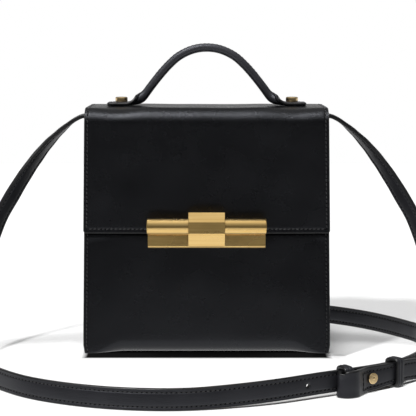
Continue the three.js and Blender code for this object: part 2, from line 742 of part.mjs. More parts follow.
addPiece('strap_long', strapLong(), edge);
addPiece('strap_short', strapShort(), edge);
addPiece(
  'keeper_captive',
  keeperGeometry(-LOOP_AT, -STRAP_T / 2 - GAP, STRAP_T * 1.6 + GAP, LOOP_W),
  edge,
);
addPiece(
  'keeper_free',
  keeperGeometry(KEEPER_AT, -STRAP_T / 2 - GAP, STRAP_T * 1.62 + GAP, KEEPER_W),
  edge,
);
const stud = beside(0, STRAP_T * 1.65 + GAP, 0.9);
addPiece('strap_stud', placeHead(headGeometry(STRAP_STUD_D, STRAP_STUD_H), stud.at, stud.out), brass);
for (const [name, sign] of [['left', -1], ['right', 1]]) {
  const face = gussetFace(RIVET_Z) - GUSSET_T - STRAP_T - GAP * 3;
  const at = new THREE.Vector3(sign * face, 0, RIVET_Z);
  const rivet = placeHead(headGeometry(RIVET_D, RIVET_H), at, new THREE.Vector3(-sign, 0, 0));
  addPiece(`strap_rivet_${name}`, rivet, brass);
}

export default bag;
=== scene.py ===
import math

import bmesh
import bpy
import numpy as np
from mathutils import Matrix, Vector


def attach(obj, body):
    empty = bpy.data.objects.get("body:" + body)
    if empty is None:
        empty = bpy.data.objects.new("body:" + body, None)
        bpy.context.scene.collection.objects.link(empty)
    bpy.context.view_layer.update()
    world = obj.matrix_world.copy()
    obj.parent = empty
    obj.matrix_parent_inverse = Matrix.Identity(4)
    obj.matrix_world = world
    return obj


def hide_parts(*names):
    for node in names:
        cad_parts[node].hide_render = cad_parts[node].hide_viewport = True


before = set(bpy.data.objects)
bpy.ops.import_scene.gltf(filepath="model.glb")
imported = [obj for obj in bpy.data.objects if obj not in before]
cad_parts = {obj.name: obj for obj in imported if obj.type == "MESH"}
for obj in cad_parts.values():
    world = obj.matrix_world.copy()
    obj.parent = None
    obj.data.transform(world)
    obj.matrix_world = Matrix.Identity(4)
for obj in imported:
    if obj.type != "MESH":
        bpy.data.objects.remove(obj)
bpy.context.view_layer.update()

# Looks of a small black leather box bag with brass fittings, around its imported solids.
# Sizes are in millimetres and the finished meshes in metres. The front faces -Y, +Z is up.
MM = 0.001

# Body
BAG_H = 182.8
BAG_D = 70.0
BASE_W = 184.3
TOP_W = 177.4
CROWN = 1.0
GAP = 0.3
WALL_T = 2.2
BASE_R = 10.8
SEAM_R = 0.8
PINCH_EDGE = 4.0
PINCH_RUN = 27.0
TUCK = 1.3
TUCK_H = 9.0

# Gussets
GUSSET_T = 1.8
GUSSET_INSET = 0.8
GUSSET_FLANGE = 9.0
GUSSET_TOP = 168.0
GUSSET_BEND = 2.4  # radius of the gusset's turn into its flange
GUSSET_HOLLOW = 2.2  # how far the soft side sinks in along its middle

# Flap
FLAP_T = 2.5
FLAP_CLEAR = 0.5
FLAP_EDGE_Z = 90.5
FLAP_R = 11.0
FLAP_OVER = 0.35
FLAP_CORNER_R = 2.6
FLAP_SEWN = 21.0
PRESS = 1.4
FLAP_PRINT = 0.65  # how deep the flap's edge has pressed into the front panel
FLAP_SHADE = 1.5  # and how far below the edge that print gets the groove material's painted shade

# Handle
HANDLE_SPAN = 149.2
HANDLE_RISE = 42.0
TAB_W = 24.5
TAB_T = 2.3
FOLD_W = 12.8
FOLD_T = 6.4
TAB_CORNER_R = 4.0
HANDLE_DIP = 0.16  # how far the folded edges bend in, for each square millimetre past the roll
STUD_INSET = 10.4
STUD_D = 9.3
STUD_H = 3.8

# Clasp
BAR_D = 12.0
BAR_L = 87.0
BAR_ROUND = 0.8
BAR_Z = 97.3
BAR_OFF = 9.5
FOOT_L = 22.0
FOOT_H = 9.0
FOOT_T = 1.2
FOOT_CORNER_R = 2.0
FOOT_EDGE_R = 0.35
POST_D = 5.0
PLATE_L = 86.2
PLATE_H = 9.8
PLATE_T = 7.0
PLATE_TOP = 90.4
PLATE_BEVEL = 1.2
PLATE_EDGE_R = 0.35
LEVER_W = 26.7
LEVER_WALL = 2.0
LEVER_RISE = 10.9
LEVER_DROP = 14.5
LEVER_LIP = 4.1
LEVER_EDGE_R = 0.5

# Shoulder strap
STRAP_W = 14.5
STRAP_T = 3.0
EXIT_Z = 175.0
SIDE_REACH = 84.0
FRONT_REACH = 190.0
BACK_REACH = 88.0
KEEPER_T = 2.2
KEEPER_BEND = 0.9
KEEPER_W = 7.5
LOOP_W = 7.0
LOOP_AT = 19.5
KEEPER_AT = 23.0
FLARE = 0.24
STRAP_STUD_D = 7.5
STRAP_STUD_H = 1.5
HOLE_D = 2.8
HOLE_PITCH = 48.0
HOLES_PAST = 3
HOLE_BLOCK = 1.5  # radii round a hole that are left to its wall
HOLE_MOUTH = ((0.0, 1.14), (0.12, 1.05), (0.3, 1.0))  # depth below the face, and share of the radius
RIVET_D = 9.0
RIVET_H = 1.6
RIVET_Z = 148.0
STRAP_TIP_R = 3.5
STRAP_SEWN = 1.8  # how much deeper the strap's stitch grooves are than the body's
STRAP_PAD = 0.14  # swelling of its middle
STRAP_PAD_IN = 3.2  # and where that starts, from the edge

# Leather detail
RIM_R = 0.75  # rounding of a cut and painted edge
STITCH_IN = 2.6  # stitch rows from the edges
STITCH_LOW = 3.5  # the flap's bottom row from its edge
STITCH_PITCH = 3.1
STITCH_L = 2.35
STITCH_R = 0.34
ROLLED_STITCH_R = 0.2  # finer on the handle's rolled edges
GROOVE_W = 0.55  # half width of the groove that a stitch row lies in
GROOVE_DEEP = 0.28
CREASE_IN = 1.25  # creased line between the stitches and the edge
CREASE_DEEP = 0.1
CREASE_W = 0.3

# Camera, where the photograph's stood
CAMERA_AT = (0.98, -1018.0, 231.7)
CAMERA_DOWN = 7.1
PHOTO_W = 416
FOCAL_PX = 1347.4
SENSOR = 36.0

# Light: what glossy surfaces mirror, as brightness by the height of a direction above the viewer's side,
# with 90 straight up, 180 level behind the bag, and the floor below 0
GLOSS_SKY = [
    (-180, 0.8), (-90, 0.95), (-30, 1.15), (-20, 1.0), (-15, 0.4), (-12, 0.09), (0, 0.06), (10, 0.12),
    (22, 0.25), (36, 0.38), (52, 0.55), (66, 0.82), (80, 1.2), (90, 1.1), (102, 0.7), (125, 0.34),
    (150, 0.2), (167, 0.35), (180, 0.75),
]
SKY_PEAK = 1.2
# Lamps: direction that the light comes from, power and softness; crests only put a glint on the leather
KEY = ((-0.03, -0.12, 1.0), 2.6, 14)
SIDE = ((-0.57, -0.8, 1.0), 2.1, 5)
CRESTS = [((-0.36, -0.45, 0.82), 1.9, 36), ((-0.2, -0.27, 0.94), 0.9, 7)]
AMBIENT = 0.03

FLOOR_REACH = 2600.0
FLOOR_BACK = 1500.0
PAPER = 0.86
CARD_OUT = 17.0  # reach of the shade card before the bag, and of its dense part
CARD_FULL = 13.5
CARD_SIDE = (-4.0, 0.5)  # where it clears, from the base's corner
CARD_Z = 0.15
# tone of the painted contact shadow
CARD_TONE = (0.006, 0.006, 0.006, 1)
FLAG_X = (78.0, 103.0)
FLAG_Y = -42.0

BODY = "bag"
TURNING = "lever"
made = {}


def table(columns, rows):
    """Rows of a table as dictionaries under the names in columns."""
    return [dict(zip(columns.split(), row)) for row in rows]


# Small numeric helpers, for arrays and single numbers alike

def lerp(a, b, t):
    return a + (b - a) * t


def clamp01(x):
    return np.clip(x, 0.0, 1.0)


def smooth(t):
    t = clamp01(t)
    return t * t * (3 - 2 * t)


def unit(v):
    return v / np.maximum(np.linalg.norm(v, axis=-1, keepdims=True), 1e-9)


def stack(x, y, z):
    return np.stack(np.broadcast_arrays(x, y, z), axis=-1).astype(float)


def ridge(distance, width):
    return np.exp(-((distance / width) ** 2))


# Meshes

def turn_outward(mesh, weld=0.0):
    """Turns the faces outward, after joining points closer together than weld."""
    form = bmesh.new()
    form.from_mesh(mesh)
    if weld:
        bmesh.ops.remove_doubles(form, verts=form.verts, dist=weld)
    bmesh.ops.recalc_face_normals(form, faces=form.faces)
    form.to_mesh(mesh)
    form.free()


def add_mesh(name, points, faces, looks, slot_name, body=BODY, part_of=None, kinds=None, smooth_faces=True):
    """A mesh object from points in millimetres; kinds gives each face's index in looks."""
    mesh = bpy.data.meshes.new(name)
    mesh.from_pydata((np.asarray(points) * MM).tolist(), [], faces)
    for look in looks:
        mesh.materials.append(look)
    if kinds is not None:
        mesh.polygons.foreach_set("material_index", np.asarray(kinds, dtype=np.int32))
    turn_outward(mesh)
    mesh.polygons.foreach_set("use_smooth", [smooth_faces] * len(mesh.polygons))
    mesh.update()
    piece = bpy.data.objects.new(name, mesh)
    bpy.context.scene.collection.objects.link(piece)
    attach(piece, body)
    if part_of:
        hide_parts(*part_of)
    made[name] = piece
    return piece


def tube_faces(rings, size):
    """Faces between rings of size points, one ring after the other."""
    faces = []
    for i in range(rings - 1):
        for j in range(size):
            k = (j + 1) % size
            faces.append((i * size + j, i * size + k, (i + 1) * size + k, (i + 1) * size + j))
    return faces


def round_edges(piece, width, segments=3, sharpest=20):
    """Rolls the edges that turn by more than sharpest degrees, and puts the result into the piece's mesh."""
    bevel = piece.modifiers.new("bevel", "BEVEL")
    bevel.width = width * MM
    bevel.segments = segments
    bevel.limit_method = "ANGLE"
    bevel.angle_limit = math.radians(sharpest)
    bevel.harden_normals = True
    graph = bpy.context.evaluated_depsgraph_get()
    mesh = bpy.data.meshes.new_from_object(piece.evaluated_get(graph))
    piece.modifiers.clear()
    piece.data = mesh


def spread(marks, gap):
    """Stations from mark to mark, none farther apart than gap."""
    out = [marks[0]]
    for a, b in zip(marks[:-1], marks[1:]):
        count = max(1, math.ceil(abs(b - a) / gap - 1e-6))
        out += [lerp(a, b, (k + 1) / count) for k in range(count)]
    return out


EDGE_MARKS = [
    RIM_R, 1.0, 1.15, 1.25, 1.35, 1.6, 1.9, 2.15, 2.35, 2.5, 2.6, 2.7, 2.85, 3.05, 3.35, 3.8, 4.6, 6.0,
]


def edge_stations(half, middle_gap, scale=1.0):
    """Distances from the middle, close together by the stitched edge, for -half..half."""
    near = [half - mark * scale for mark in EDGE_MARKS if mark * scale < half * 0.8]
    inner = spread([near[-1], 0.0], middle_gap)
    side = near[:-1] + inner
    return np.array([-x for x in side] + side[::-1][1:])


def stations_round(stations, middle, reach):
    """Numbers of the nearest stations that lie at least reach to either side of middle."""
    low = max(k for k, x in enumerate(stations) if x <= middle - reach)
    return low, min(k for k, x in enumerate(stations) if x >= middle + reach)


class Sheet:
    """A sheet of leather with rounded edges. place(s, w, d) gives points at s along, w across and d deep.

    across holds the stations of the flat faces, and the rim reaches past them and past the ends of along.
    kinds says of each face: on a face side (0), on the painted edge (1) or in a groove with painted shade
    (2).
    """

    def __init__(self, place, along, across, thick, rim, closed):
        self.place, self.along, self.across, self.thick, self.closed = place, along, across, thick, closed
        turn = np.array([0.25, 0.6, 1.0]) * math.pi / 2
        wide, deep = rim["across"] * np.sin(turn), rim["deep"] * (1 - np.cos(turn))
        # Once round the section: the face, over an edge to the far face, and over the other edge.
        rim_w = across[-1] + np.concatenate([wide, wide[::-1]])
        rim_d = np.concatenate([deep, thick - deep[::-1]])
        self.ring_w = np.concatenate([across, rim_w, across[::-1], -rim_w])
        ring_d = np.concatenate([np.zeros_like(across), rim_d, np.full_like(across, thick), rim_d[::-1]])
        self.n, self.m, self.count = len(across), len(rim_w), len(self.ring_w)
        self.first = 0 if closed else len(turn)
        self.rows = [(s, 0.0) for s in along]
        if not closed:
            ends = [(rim["along"] * math.sin(a), 1 - math.cos(a)) for a in turn]
            before = [(along[0] - e, pull) for e, pull in ends[::-1]]
            self.rows = before + self.rows + [(along[-1] + e, pull) for e, pull in ends]
        grid = []
        for s, pull in self.rows:
            depth = thick / 2 + (ring_d - thick / 2) * (1 - pull * rim["deep"] / (thick / 2))
            widest = across[-1] + rim["across"] * (1 - pull)
            width = np.sign(self.ring_w) * np.minimum(np.abs(self.ring_w), widest)
            grid.append(place(np.full(self.count, s), width, depth))
        self.points = np.concatenate(grid)
        self.faces, self.kinds = [], []

    def far(self, column):
        """The column of the far face that lies below a column of the near one."""
        return 2 * self.n + self.m - 1 - column

    def block(self, s, w, radius):
        """The rows and columns that the skin is left open between, round a hole."""
        rows = [k + self.first for k in stations_round(self.along, s, radius * HOLE_BLOCK)]
        return (*rows, *stations_round(self.across, w, radius * HOLE_BLOCK))

    def lay_skin(self, blocks, grooved):
        """Faces between neighbouring rows; grooved(s, w) says which lie in a groove and get its painted
        shade.
        """
        n, m, count, total = self.n, self.m, self.count, len(self.rows)
        for i in range(total if self.closed else total - 1):
            i2 = (i + 1) % total
            s = (self.rows[i][0] + self.rows[i2][0]) / 2
            at_end = not self.closed and not self.first <= i < total - 1 - self.first
            spans = [(j0, j1) for i0, i1, j0, j1 in blocks if i0 <= i < i1]
            for j in range(count):
                if any(j0 <= j < j1 or self.far(j1) <= j < self.far(j0) for j0, j1 in spans):
                    continue
                k = (j + 1) % count
                self.faces.append((i * count + j, i * count + k, i2 * count + k, i2 * count + j))
                kind = 0 if not at_end and (j < n - 1 or n + m <= j < 2 * n + m - 1) else 1
                if kind == 0 and grooved and grooved(s, (self.ring_w[j] + self.ring_w[k]) / 2):
                    kind = 2
                self.kinds.append(kind)

    def close_ends(self):
        """Joins the near half of both end rows to the far half."""
        for base, flip in ((0, False), ((len(self.rows) - 1) * self.count, True)):
            for j in range(-(self.m // 2), self.n + self.m // 2 - 1):
                corners = (j, j + 1, self.far(j + 1), self.far(j))
                face = list(dict.fromkeys(base + x % self.count for x in corners))
                if len(face) > 2:
                    self.faces.append(tuple(face if flip else face[::-1]))
                    self.kinds.append(1)

    def bore(self, block, s, w, radius):
        """Joins both faces round a block to the wall of its hole."""
        i0, i1, j0, j1 = block
        loop = [(i, j0) for i in range(i0, i1)] + [(i1, j) for j in range(j0, j1)]
        loop += [(i, j1) for i in range(i1, i0, -1)] + [(i0, j) for j in range(j1, j0, -1)]
        size, start = len(loop), len(self.points)
        s_out = np.array([self.along[i - self.first] - s for i, _ in loop])
        w_out = np.array([self.across[j] - w for _, j in loop])
        angle = np.arctan2(w_out, s_out)
        mouth = [(d, radius * share) for d, share in HOLE_MOUTH]
        wall = mouth + [(self.thick - d, r) for d, r in mouth[::-1]]
        rings = [self.place(s + r * np.cos(angle), w + r * np.sin(angle), np.full(size, d)) for d, r in wall]
        self.points = np.concatenate([self.points] + rings)
        front = [i * self.count + j for i, j in loop]
        back = [i * self.count + self.far(j) for i, j in loop]
        last = start + (len(wall) - 1) * size
        for k in range(size):
            q = (k + 1) % size
            self.faces += [(front[k], front[q], start + q, start + k), (back[q], back[k], last + k, last + q)]
            self.faces += [(a + k, a + q, a + size + q, a + size + k) for a in range(start, last, size)]
            self.kinds += [0, 0] + [1] * (len(wall) - 1)


def in_groove(from_edge, row=STITCH_IN):
    return abs(from_edge - row) < GROOVE_W


def leather_piece(
    name, place, along, across, thick, node, rim=None, look=None, closed=False, holes=(), grooved=None,
):
    """A sheet as a piece; each hole is (s, w, radius)."""
    rim = rim or {"across": RIM_R, "along": RIM_R, "deep": RIM_R}
    sheet = Sheet(place, along, across, thick, rim, closed)
    blocks = [sheet.block(*hole) for hole in holes]
    sheet.lay_skin(blocks, grooved)
    if not closed:
        sheet.close_ends()
    for block, hole in zip(blocks, holes):
        sheet.bore(block, *hole)
    # The third look paints shade into the stitch grooves.
    looks = [look or leather, painted_edge, groove_shade_leather]
    slot_name = "strap_leather" if look is strap_leather else "leather"
    add_mesh(name, sheet.points, sheet.faces, looks, slot_name, part_of=[node], kinds=sheet.kinds)


# Stitches

class Thread:
    """Gathers stitches, each a small plump capsule pulled down at both ends, into one mesh."""

    def __init__(self):
        self.points = []
        self.faces = []

    def sew(self, path, normals, pitch=STITCH_PITCH, length=STITCH_L, radius=STITCH_R, slant=0.13):
        """Stitches along a polyline of points, standing on the side that the normals point to."""
        path = np.asarray(path, dtype=float)
        step = np.linalg.norm(np.diff(path, axis=0), axis=1)
        reach = np.concatenate([[0], np.cumsum(step)])
        count = max(1, int(round(reach[-1] / pitch)))
        middles = (np.arange(count) + 0.5) * reach[-1] / count
        length = min(length, reach[-1] / count * 0.8)

        def sample(values, at):
            return np.stack([np.interp(at, reach, values[:, k]) for k in range(3)], axis=-1)

        normals = np.asarray(normals, dtype=float)
        sides = 6
        along = np.array([-1.0, -0.92, -0.68, -0.3, 0.3, 0.68, 0.92, 1.0])
        plump = np.array([0.12, 0.55, 0.88, 1.0, 1.0, 0.88, 0.55, 0.12])
        sink = np.array([0.75, 0.5, 0.16, 0.0, 0.0, 0.16, 0.5, 0.75])
        turn = np.arange(sides) * 2 * math.pi / sides
        tube = tube_faces(len(along), sides)
        first = tuple(range(sides))[::-1]
        last = tuple(range((len(along) - 1) * sides, len(along) * sides))
        for middle in middles:
            places = sample(path, np.clip(middle + along * length / 2, 0, reach[-1]))
            up = unit(sample(normals, np.array([middle])))[0]
            ahead = unit(places[-1] - places[0])
            sideways = np.cross(up, ahead)
            base = len(self.points) * sides
            for p, f, r, s in zip(places, along, plump, sink):
                centre = p + up * (radius * (0.42 - 1.1 * s)) + sideways * (f * slant * length / 2)
                wide, high = radius * r, radius * 0.85 * r
                self.points.append(
                    [centre + sideways * (wide * math.cos(t)) + up * (high * math.sin(t)) for t in turn]
                )
            self.faces += [tuple(base + x for x in face) for face in tube + [first, last]]

    def finish(self, name, slot_name="leather"):
        points = np.array(self.points).reshape(-1, 3)
        flipped = [f[::-1] for f in self.faces]
        add_mesh(name, points, flipped, [thread], slot_name)


def sew_row(into, place, s, w, far=0.0, radius=STITCH_R):
    """Sews along s and w on the outside of a surface, or on its far side at the depth far."""
    s, w = np.broadcast_arrays(np.asarray(s, dtype=float), np.asarray(w, dtype=float))
    points = place(s, w, np.full(len(s), far))
    inside = place(s, w, np.full(len(s), far - 0.2 if far else 0.2))
    into.sew(points, unit(points - inside), radius=radius)


# Materials, all procedural, in the object's own coordinates

class Tree:
    """A node tree, with short ways to add nodes to it and to fill their sockets."""

    def __init__(self, owner):
        owner.use_nodes = True
        self.nodes = owner.node_tree.nodes
        self.links = owner.node_tree.links

    def fill(self, node, sockets):
        """Gives each named or numbered input its value, or links it to another node's output."""
        for name, value in sockets.items():
            if isinstance(value, bpy.types.NodeSocket):
                self.links.new(value, node.inputs[name])
            else:
                node.inputs[name].default_value = value

    def add(self, kind, sockets=None, **settings):
        node = self.nodes.new("ShaderNode" + kind)
        for name, value in settings.items():
            setattr(node, name, value)
        self.fill(node, sockets or {})
        return node

    def calc(self, operation, *values):
        return self.add("Math", dict(enumerate(values)), operation=operation).outputs[0]

    def noise(self, scale, detail=2.0, rough=0.5, stretch=None):
        where = self.add("TexCoord").outputs["Object"]
        if stretch:
            where = self.add("Mapping", {"Vector": where, "Scale": stretch}).outputs["Vector"]
        return self.add("TexNoise", {"Vector": where, "Scale": scale, "Detail": detail, "Roughness": rough})

    def remap(self, source, low, high, start=0.3, stop=0.7):
        limits = {"From Min": start, "From Max": stop, "To Min": low, "To Max": high}
        return self.add("MapRange", {"Value": source, **limits}).outputs["Result"]

    def mix(self, share, dark, light):
        sockets = {"Factor": share, "A": (*dark, 1), "B": (*light, 1)}
        return self.add("Mix", sockets, data_type="RGBA").outputs["Result"]

    def bump(self, height, depth, strength=1.0, below=None):
        sockets = {"Height": height, "Distance": depth * MM, "Strength": strength}
        if below is not None:
            sockets["Normal"] = below
        return self.add("Bump", sockets).outputs["Normal"]


def new_material(name):
    material = bpy.data.materials.new(name)
    tree = Tree(material)
    return material, tree, tree.nodes["Principled BSDF"]


def leather_material(name, dark, light, rough, grain_mm, grain_deep, spec):
    """Grained calf: cells of grain parted by fine creases, pores, and a slow change of tone and gloss."""
    material, tree, shader = new_material(name)
    where = tree.add("TexCoord").outputs["Object"]
    wobble = {"Factor": 0.0007, "A": where, "B": tree.noise(420.0).outputs["Color"]}
    shifted = tree.add("Mix", wobble, data_type="VECTOR").outputs["Result"]
    sockets = {"Scale": 1000.0 / grain_mm, "Vector": shifted}
    cells = tree.add("TexVoronoi", sockets, feature="DISTANCE_TO_EDGE")
    grain = tree.remap(cells.outputs["Distance"], 0.0, 1.0, 0.0, 0.22)
    fine = tree.noise(1500.0, 2.0, 0.6).outputs["Fac"]
    broad = tree.noise(38.0, 4.0, 0.55).outputs["Fac"]
    waves = tree.bump(broad, 0.12, 0.5)
    creases = tree.bump(grain, grain_deep * 0.5, 0.8, waves)
    tree.fill(shader, {
        "Base Color": tree.mix(tree.remap(broad, 0, 1), dark, light),
        "Roughness": tree.remap(broad, *rough),
        "Normal": tree.bump(fine, grain_deep * 2.4, 1.0, creases),
        "Specular IOR Level": spec,
        "Specular Tint": (0.88, 0.91, 1.0, 1),
    })
    return material


def edge_material():
    """Painted edge: even, satin, with the slight waviness of a brushed-on coat."""
    material, tree, shader = new_material("painted_edge")
    coat = tree.noise(320.0, 3.0).outputs["Fac"]
    tone = tree.noise(60.0).outputs["Fac"]
    tree.fill(shader, {
        "Base Color": tree.mix(tree.remap(tone, 0, 1), (0.003, 0.003, 0.0034), (0.006, 0.006, 0.0068)),
        "Roughness": tree.remap(tone, 0.26, 0.38),
        "Normal": tree.bump(coat, 0.08, 0.6),
    })
    return material


def thread_material():
    """Waxed black thread with its twist."""
    material, tree, shader = new_material("thread")
    ply = tree.noise(1500.0, stretch=(1.0, 1.0, 0.5)).outputs["Fac"]
    tree.fill(shader, {
        "Base Color": tree.mix(tree.remap(ply, 0, 1), (0.008, 0.008, 0.0095), (0.02, 0.02, 0.023)),
        "Normal": tree.bump(ply, 0.06, 0.8),
        "Roughness": 0.45,
        "Sheen Weight": 0.15,
    })
    return material


def brass_material(name, dark, light, rough, grain):
    """Satin brass with fine brushing along the piece, faint handling marks and a warm change of tone."""
    material, tree, shader = new_material(name)
    brushing = tree.noise(2200.0, 3.0, 0.6, grain).outputs["Fac"]
    marks = tree.noise(40.0).outputs["Fac"]
    streaks = tree.noise(700.0, stretch=grain).outputs["Fac"]
    tree.fill(shader, {
        "Base Color": tree.mix(tree.remap(streaks, 0, 1), dark, light),
        "Roughness": tree.remap(marks, *rough),
        "Normal": tree.bump(brushing, 0.004, 0.5),
        "Metallic": 1.0,
        "Coat Weight": 1.0,
        "Coat Roughness": 0.22,
    })
    return material


leather = leather_material(
    "calf", (0.0012, 0.0012, 0.0014), (0.0022, 0.0022, 0.0026), (0.24, 0.3), 1.25, 0.07, 0.36
)
# A smoother calf for the strap, made lighter than the body's so that it also carries painted light on the
# strap's faces.
strap_leather = leather_material(
    "strap_calf", (0.009, 0.009, 0.0108), (0.014, 0.014, 0.0165), (0.34, 0.42), 1.0, 0.05, 0.42
)
# Painted light: the handle's calf is a lighter copy of the body's, standing in for the light that its faces
# catch.
handle_leather = leather_material(
    "handle_calf_painted_light", (0.018, 0.018, 0.021), (0.028, 0.028, 0.032), (0.32, 0.4), 1.1, 0.06, 0.5
)
# Painted shade: faces in a stitch groove get this darker, nearly glossless calf, which stands in for the
# shade that falls into the grooves.
groove_shade_leather = leather_material(
    "stitch_groove_painted_shade", (0.0008, 0.0008, 0.0009), (0.0012, 0.0012, 0.0014), (0.5, 0.6), 0.8, 0.02, 0.08
)
painted_edge = edge_material()
thread = thread_material()
brass = brass_material("brass_fitting", (0.74, 0.47, 0.135), (0.87, 0.6, 0.22), (0.25, 0.31), (0.02, 1, 1))
brass_head = brass_material("brass_head", (0.8, 0.57, 0.27), (0.88, 0.66, 0.34), (0.24, 0.3), (1, 1, 1))


# Body, flap and gussets

DENTS = table("side z wide start", [
    (-1, 84, 3.4, 66),
    (1, 85, 3.8, 70),
])
DENT_X = 84.0  # where a dent is at the height z of its row
DENT_STOP = 96.0
DENT_SLOPE = 0.24
DENT_DEEP = 0.3


def half_width(z):
    tuck = TUCK * (1 - clamp01(z / TUCK_H)) ** 2
    return lerp(BASE_W, TOP_W, z / BAG_H) / 2 - tuck


def crown(u, z):
    return CROWN * (1 - u * u) * np.sin(math.pi * clamp01(z / BAG_H)) * smooth(z / 25)


def pinch(u):
    return smooth(((1 - np.abs(u)) * BASE_W / 2 - PINCH_EDGE) / PINCH_RUN)


WRAP_TOP = BAG_H - FLAP_R - GAP
HALF = BASE_W / 2


def sewn(from_edge, faced=1.0):
    """Depth of the stitch groove and the edge crease at a distance from a sewn edge."""
    groove = GROOVE_DEEP * ridge(from_edge - STITCH_IN, GROOVE_W)
    return faced * (groove + CREASE_DEEP * ridge(from_edge - CREASE_IN, CREASE_W))


def sunk(d, groove, thick):
    """The depth d in a leather with a groove pressed into both of its faces."""
    face = 1 - 2 * d / thick
    return d + groove * np.sign(face) * smooth(np.abs(face))


def corner_cut(from_end, radius):
    """How much a round corner takes off the side, at a distance from the end."""
    share = clamp01(1 - from_end / radius)
    return radius * (1 - np.sqrt(1 - share * share))


def unrest(x, z, size=0.16):
    """The slow unevenness of a leather panel."""
    return size * (
        np.sin(x * 0.061 + z * 0.043 + 0.7)
        + 0.6 * np.sin(x * 0.137 - z * 0.081 + 2.1)
        + 0.35 * np.sin(z * 0.19 + x * 0.027 + 4.0)
    )


def under_flap_dent(x, z):
    """The line that the flap's edge has pressed into the front panel, and soft slanting dents by its ends."""
    deep = FLAP_PRINT * ridge(z - FLAP_EDGE_Z + 0.4, 1.5)
    for row in DENTS:
        out = row["side"] * x
        ends = smooth((DENT_STOP - out) / 10) * smooth((out - row["start"]) / 10)
        deep = deep + DENT_DEEP * ridge(z - row["z"] - (DENT_X - out) * DENT_SLOPE, row["wide"]) * ends
    return deep


def wrap_at(s, w, d):
    """Body panels: s 0..5 runs down the front, round the base and up the back; w is -HALF..HALF."""
    u = w / HALF
    front = s < 2.5
    f = np.where(front, s, 5 - s)
    d = sunk(d, sewn(HALF - np.abs(w)), WALL_T)
    r = np.maximum(lerp(SEAM_R, BASE_R, pinch(u)) - d, 0.4)
    y = BAG_D / 2 - d
    low = d + r
    a = clamp01(f - 1) * math.pi / 2
    run = lerp(-y + r, 0, clamp01((f - 2) / 0.5))
    py = np.where(f > 2, run, -y + r - r * np.cos(a))
    pz = np.where(f < 1, lerp(WRAP_TOP, low, f), low - r * np.sin(a))
    calm = clamp01((HALF - np.abs(w)) / 14) * smooth((pz - 4) / 16)
    swell = crown(u, pz) + unrest(w, pz, 0.13) * calm
    swell = swell - np.where(front, under_flap_dent(w, pz), 0)
    py = py - np.where(f < 1.9, swell * calm ** 0.2, 0)
    x = u * half_width(pz)
    return stack(x, np.where(front, py, -py), pz)


GUSSET_IN = WALL_T + GAP
GUSSET_FLAT = BAG_D / 2 - GUSSET_IN
FLANGE_RUN = GUSSET_FLANGE - GUSSET_BEND
BEND_RUN = GUSSET_BEND * math.pi / 2
# The seam line round the side: down the front, round a corner, along the base, a corner and up the back.
SIDE_RUN = GUSSET_TOP - GUSSET_IN - GUSSET_BEND
SEAM_MARKS = [0.0]
for run in (SIDE_RUN, BEND_RUN, 2 * (GUSSET_FLAT - GUSSET_BEND), BEND_RUN, SIDE_RUN):
    SEAM_MARKS.append(SEAM_MARKS[-1] + run)


def gusset_place(sign):
    """A gusset as one formed skin: a runs round the U of the seam, b from the flange's edge over the bend to
    the middle of the side."""
    z_low = GUSSET_IN + GUSSET_BEND
    front = GUSSET_BEND - GUSSET_FLAT

    def at(a, b, d):
        _, s1, s2, s3, s4, _ = SEAM_MARKS
        t1 = clamp01((a - s1) / BEND_RUN) * math.pi / 2
        t2 = clamp01((a - s3) / BEND_RUN) * math.pi / 2
        angle = t1 + t2
        cy = np.where(a < s2, front, np.where(a < s3, front + (a - s2), -front))
        cz = np.where(a < s1, GUSSET_TOP - a, np.where(a > s4, z_low + (a - s4), z_low))
        t = clamp01((b - FLANGE_RUN) / BEND_RUN) * math.pi / 2
        depth = GUSSET_BEND - d
        out = depth * np.cos(t)
        side_in = GUSSET_BEND - depth * np.sin(t) + np.maximum(FLANGE_RUN - b, 0)
        # Past the bend the wall runs in to the middle of the side.
        past = np.maximum(b - FLANGE_RUN - BEND_RUN, 0)
        y = lerp(cy - np.cos(angle) * out, 0.0, past)
        z = lerp(cz - np.sin(angle) * out, np.maximum(cz, z_low + GUSSET_FLAT - GUSSET_BEND), past)
        hollow = GUSSET_HOLLOW * smooth(1 - np.abs(y) / (GUSSET_FLAT - 1)) * smooth((z - 8) / 70)
        x = half_width(z) - GUSSET_INSET - side_in - hollow * smooth(past * 3)
        return stack(sign * x, y, z)

    return at


FLAP_BACK_Z = WRAP_TOP - FLAP_SEWN
FLAP_DROP = BAG_H - FLAP_R - FLAP_EDGE_Z


def flap_half(z):
    return half_width(z) + FLAP_OVER - corner_cut(z - FLAP_EDGE_Z, FLAP_CORNER_R)


STUD_X = HANDLE_SPAN / 2 - STUD_INSET


def press(x, y, z):
    near = np.exp(-(((np.abs(x) - STUD_X) / (TAB_W * 0.6)) ** 2))
    forward = smooth((-y - TAB_W / 2) / (BAG_D / 2 - TAB_W / 2))
    return PRESS * near * forward * clamp01((z - (BAG_H - FLAP_R)) / FLAP_R)


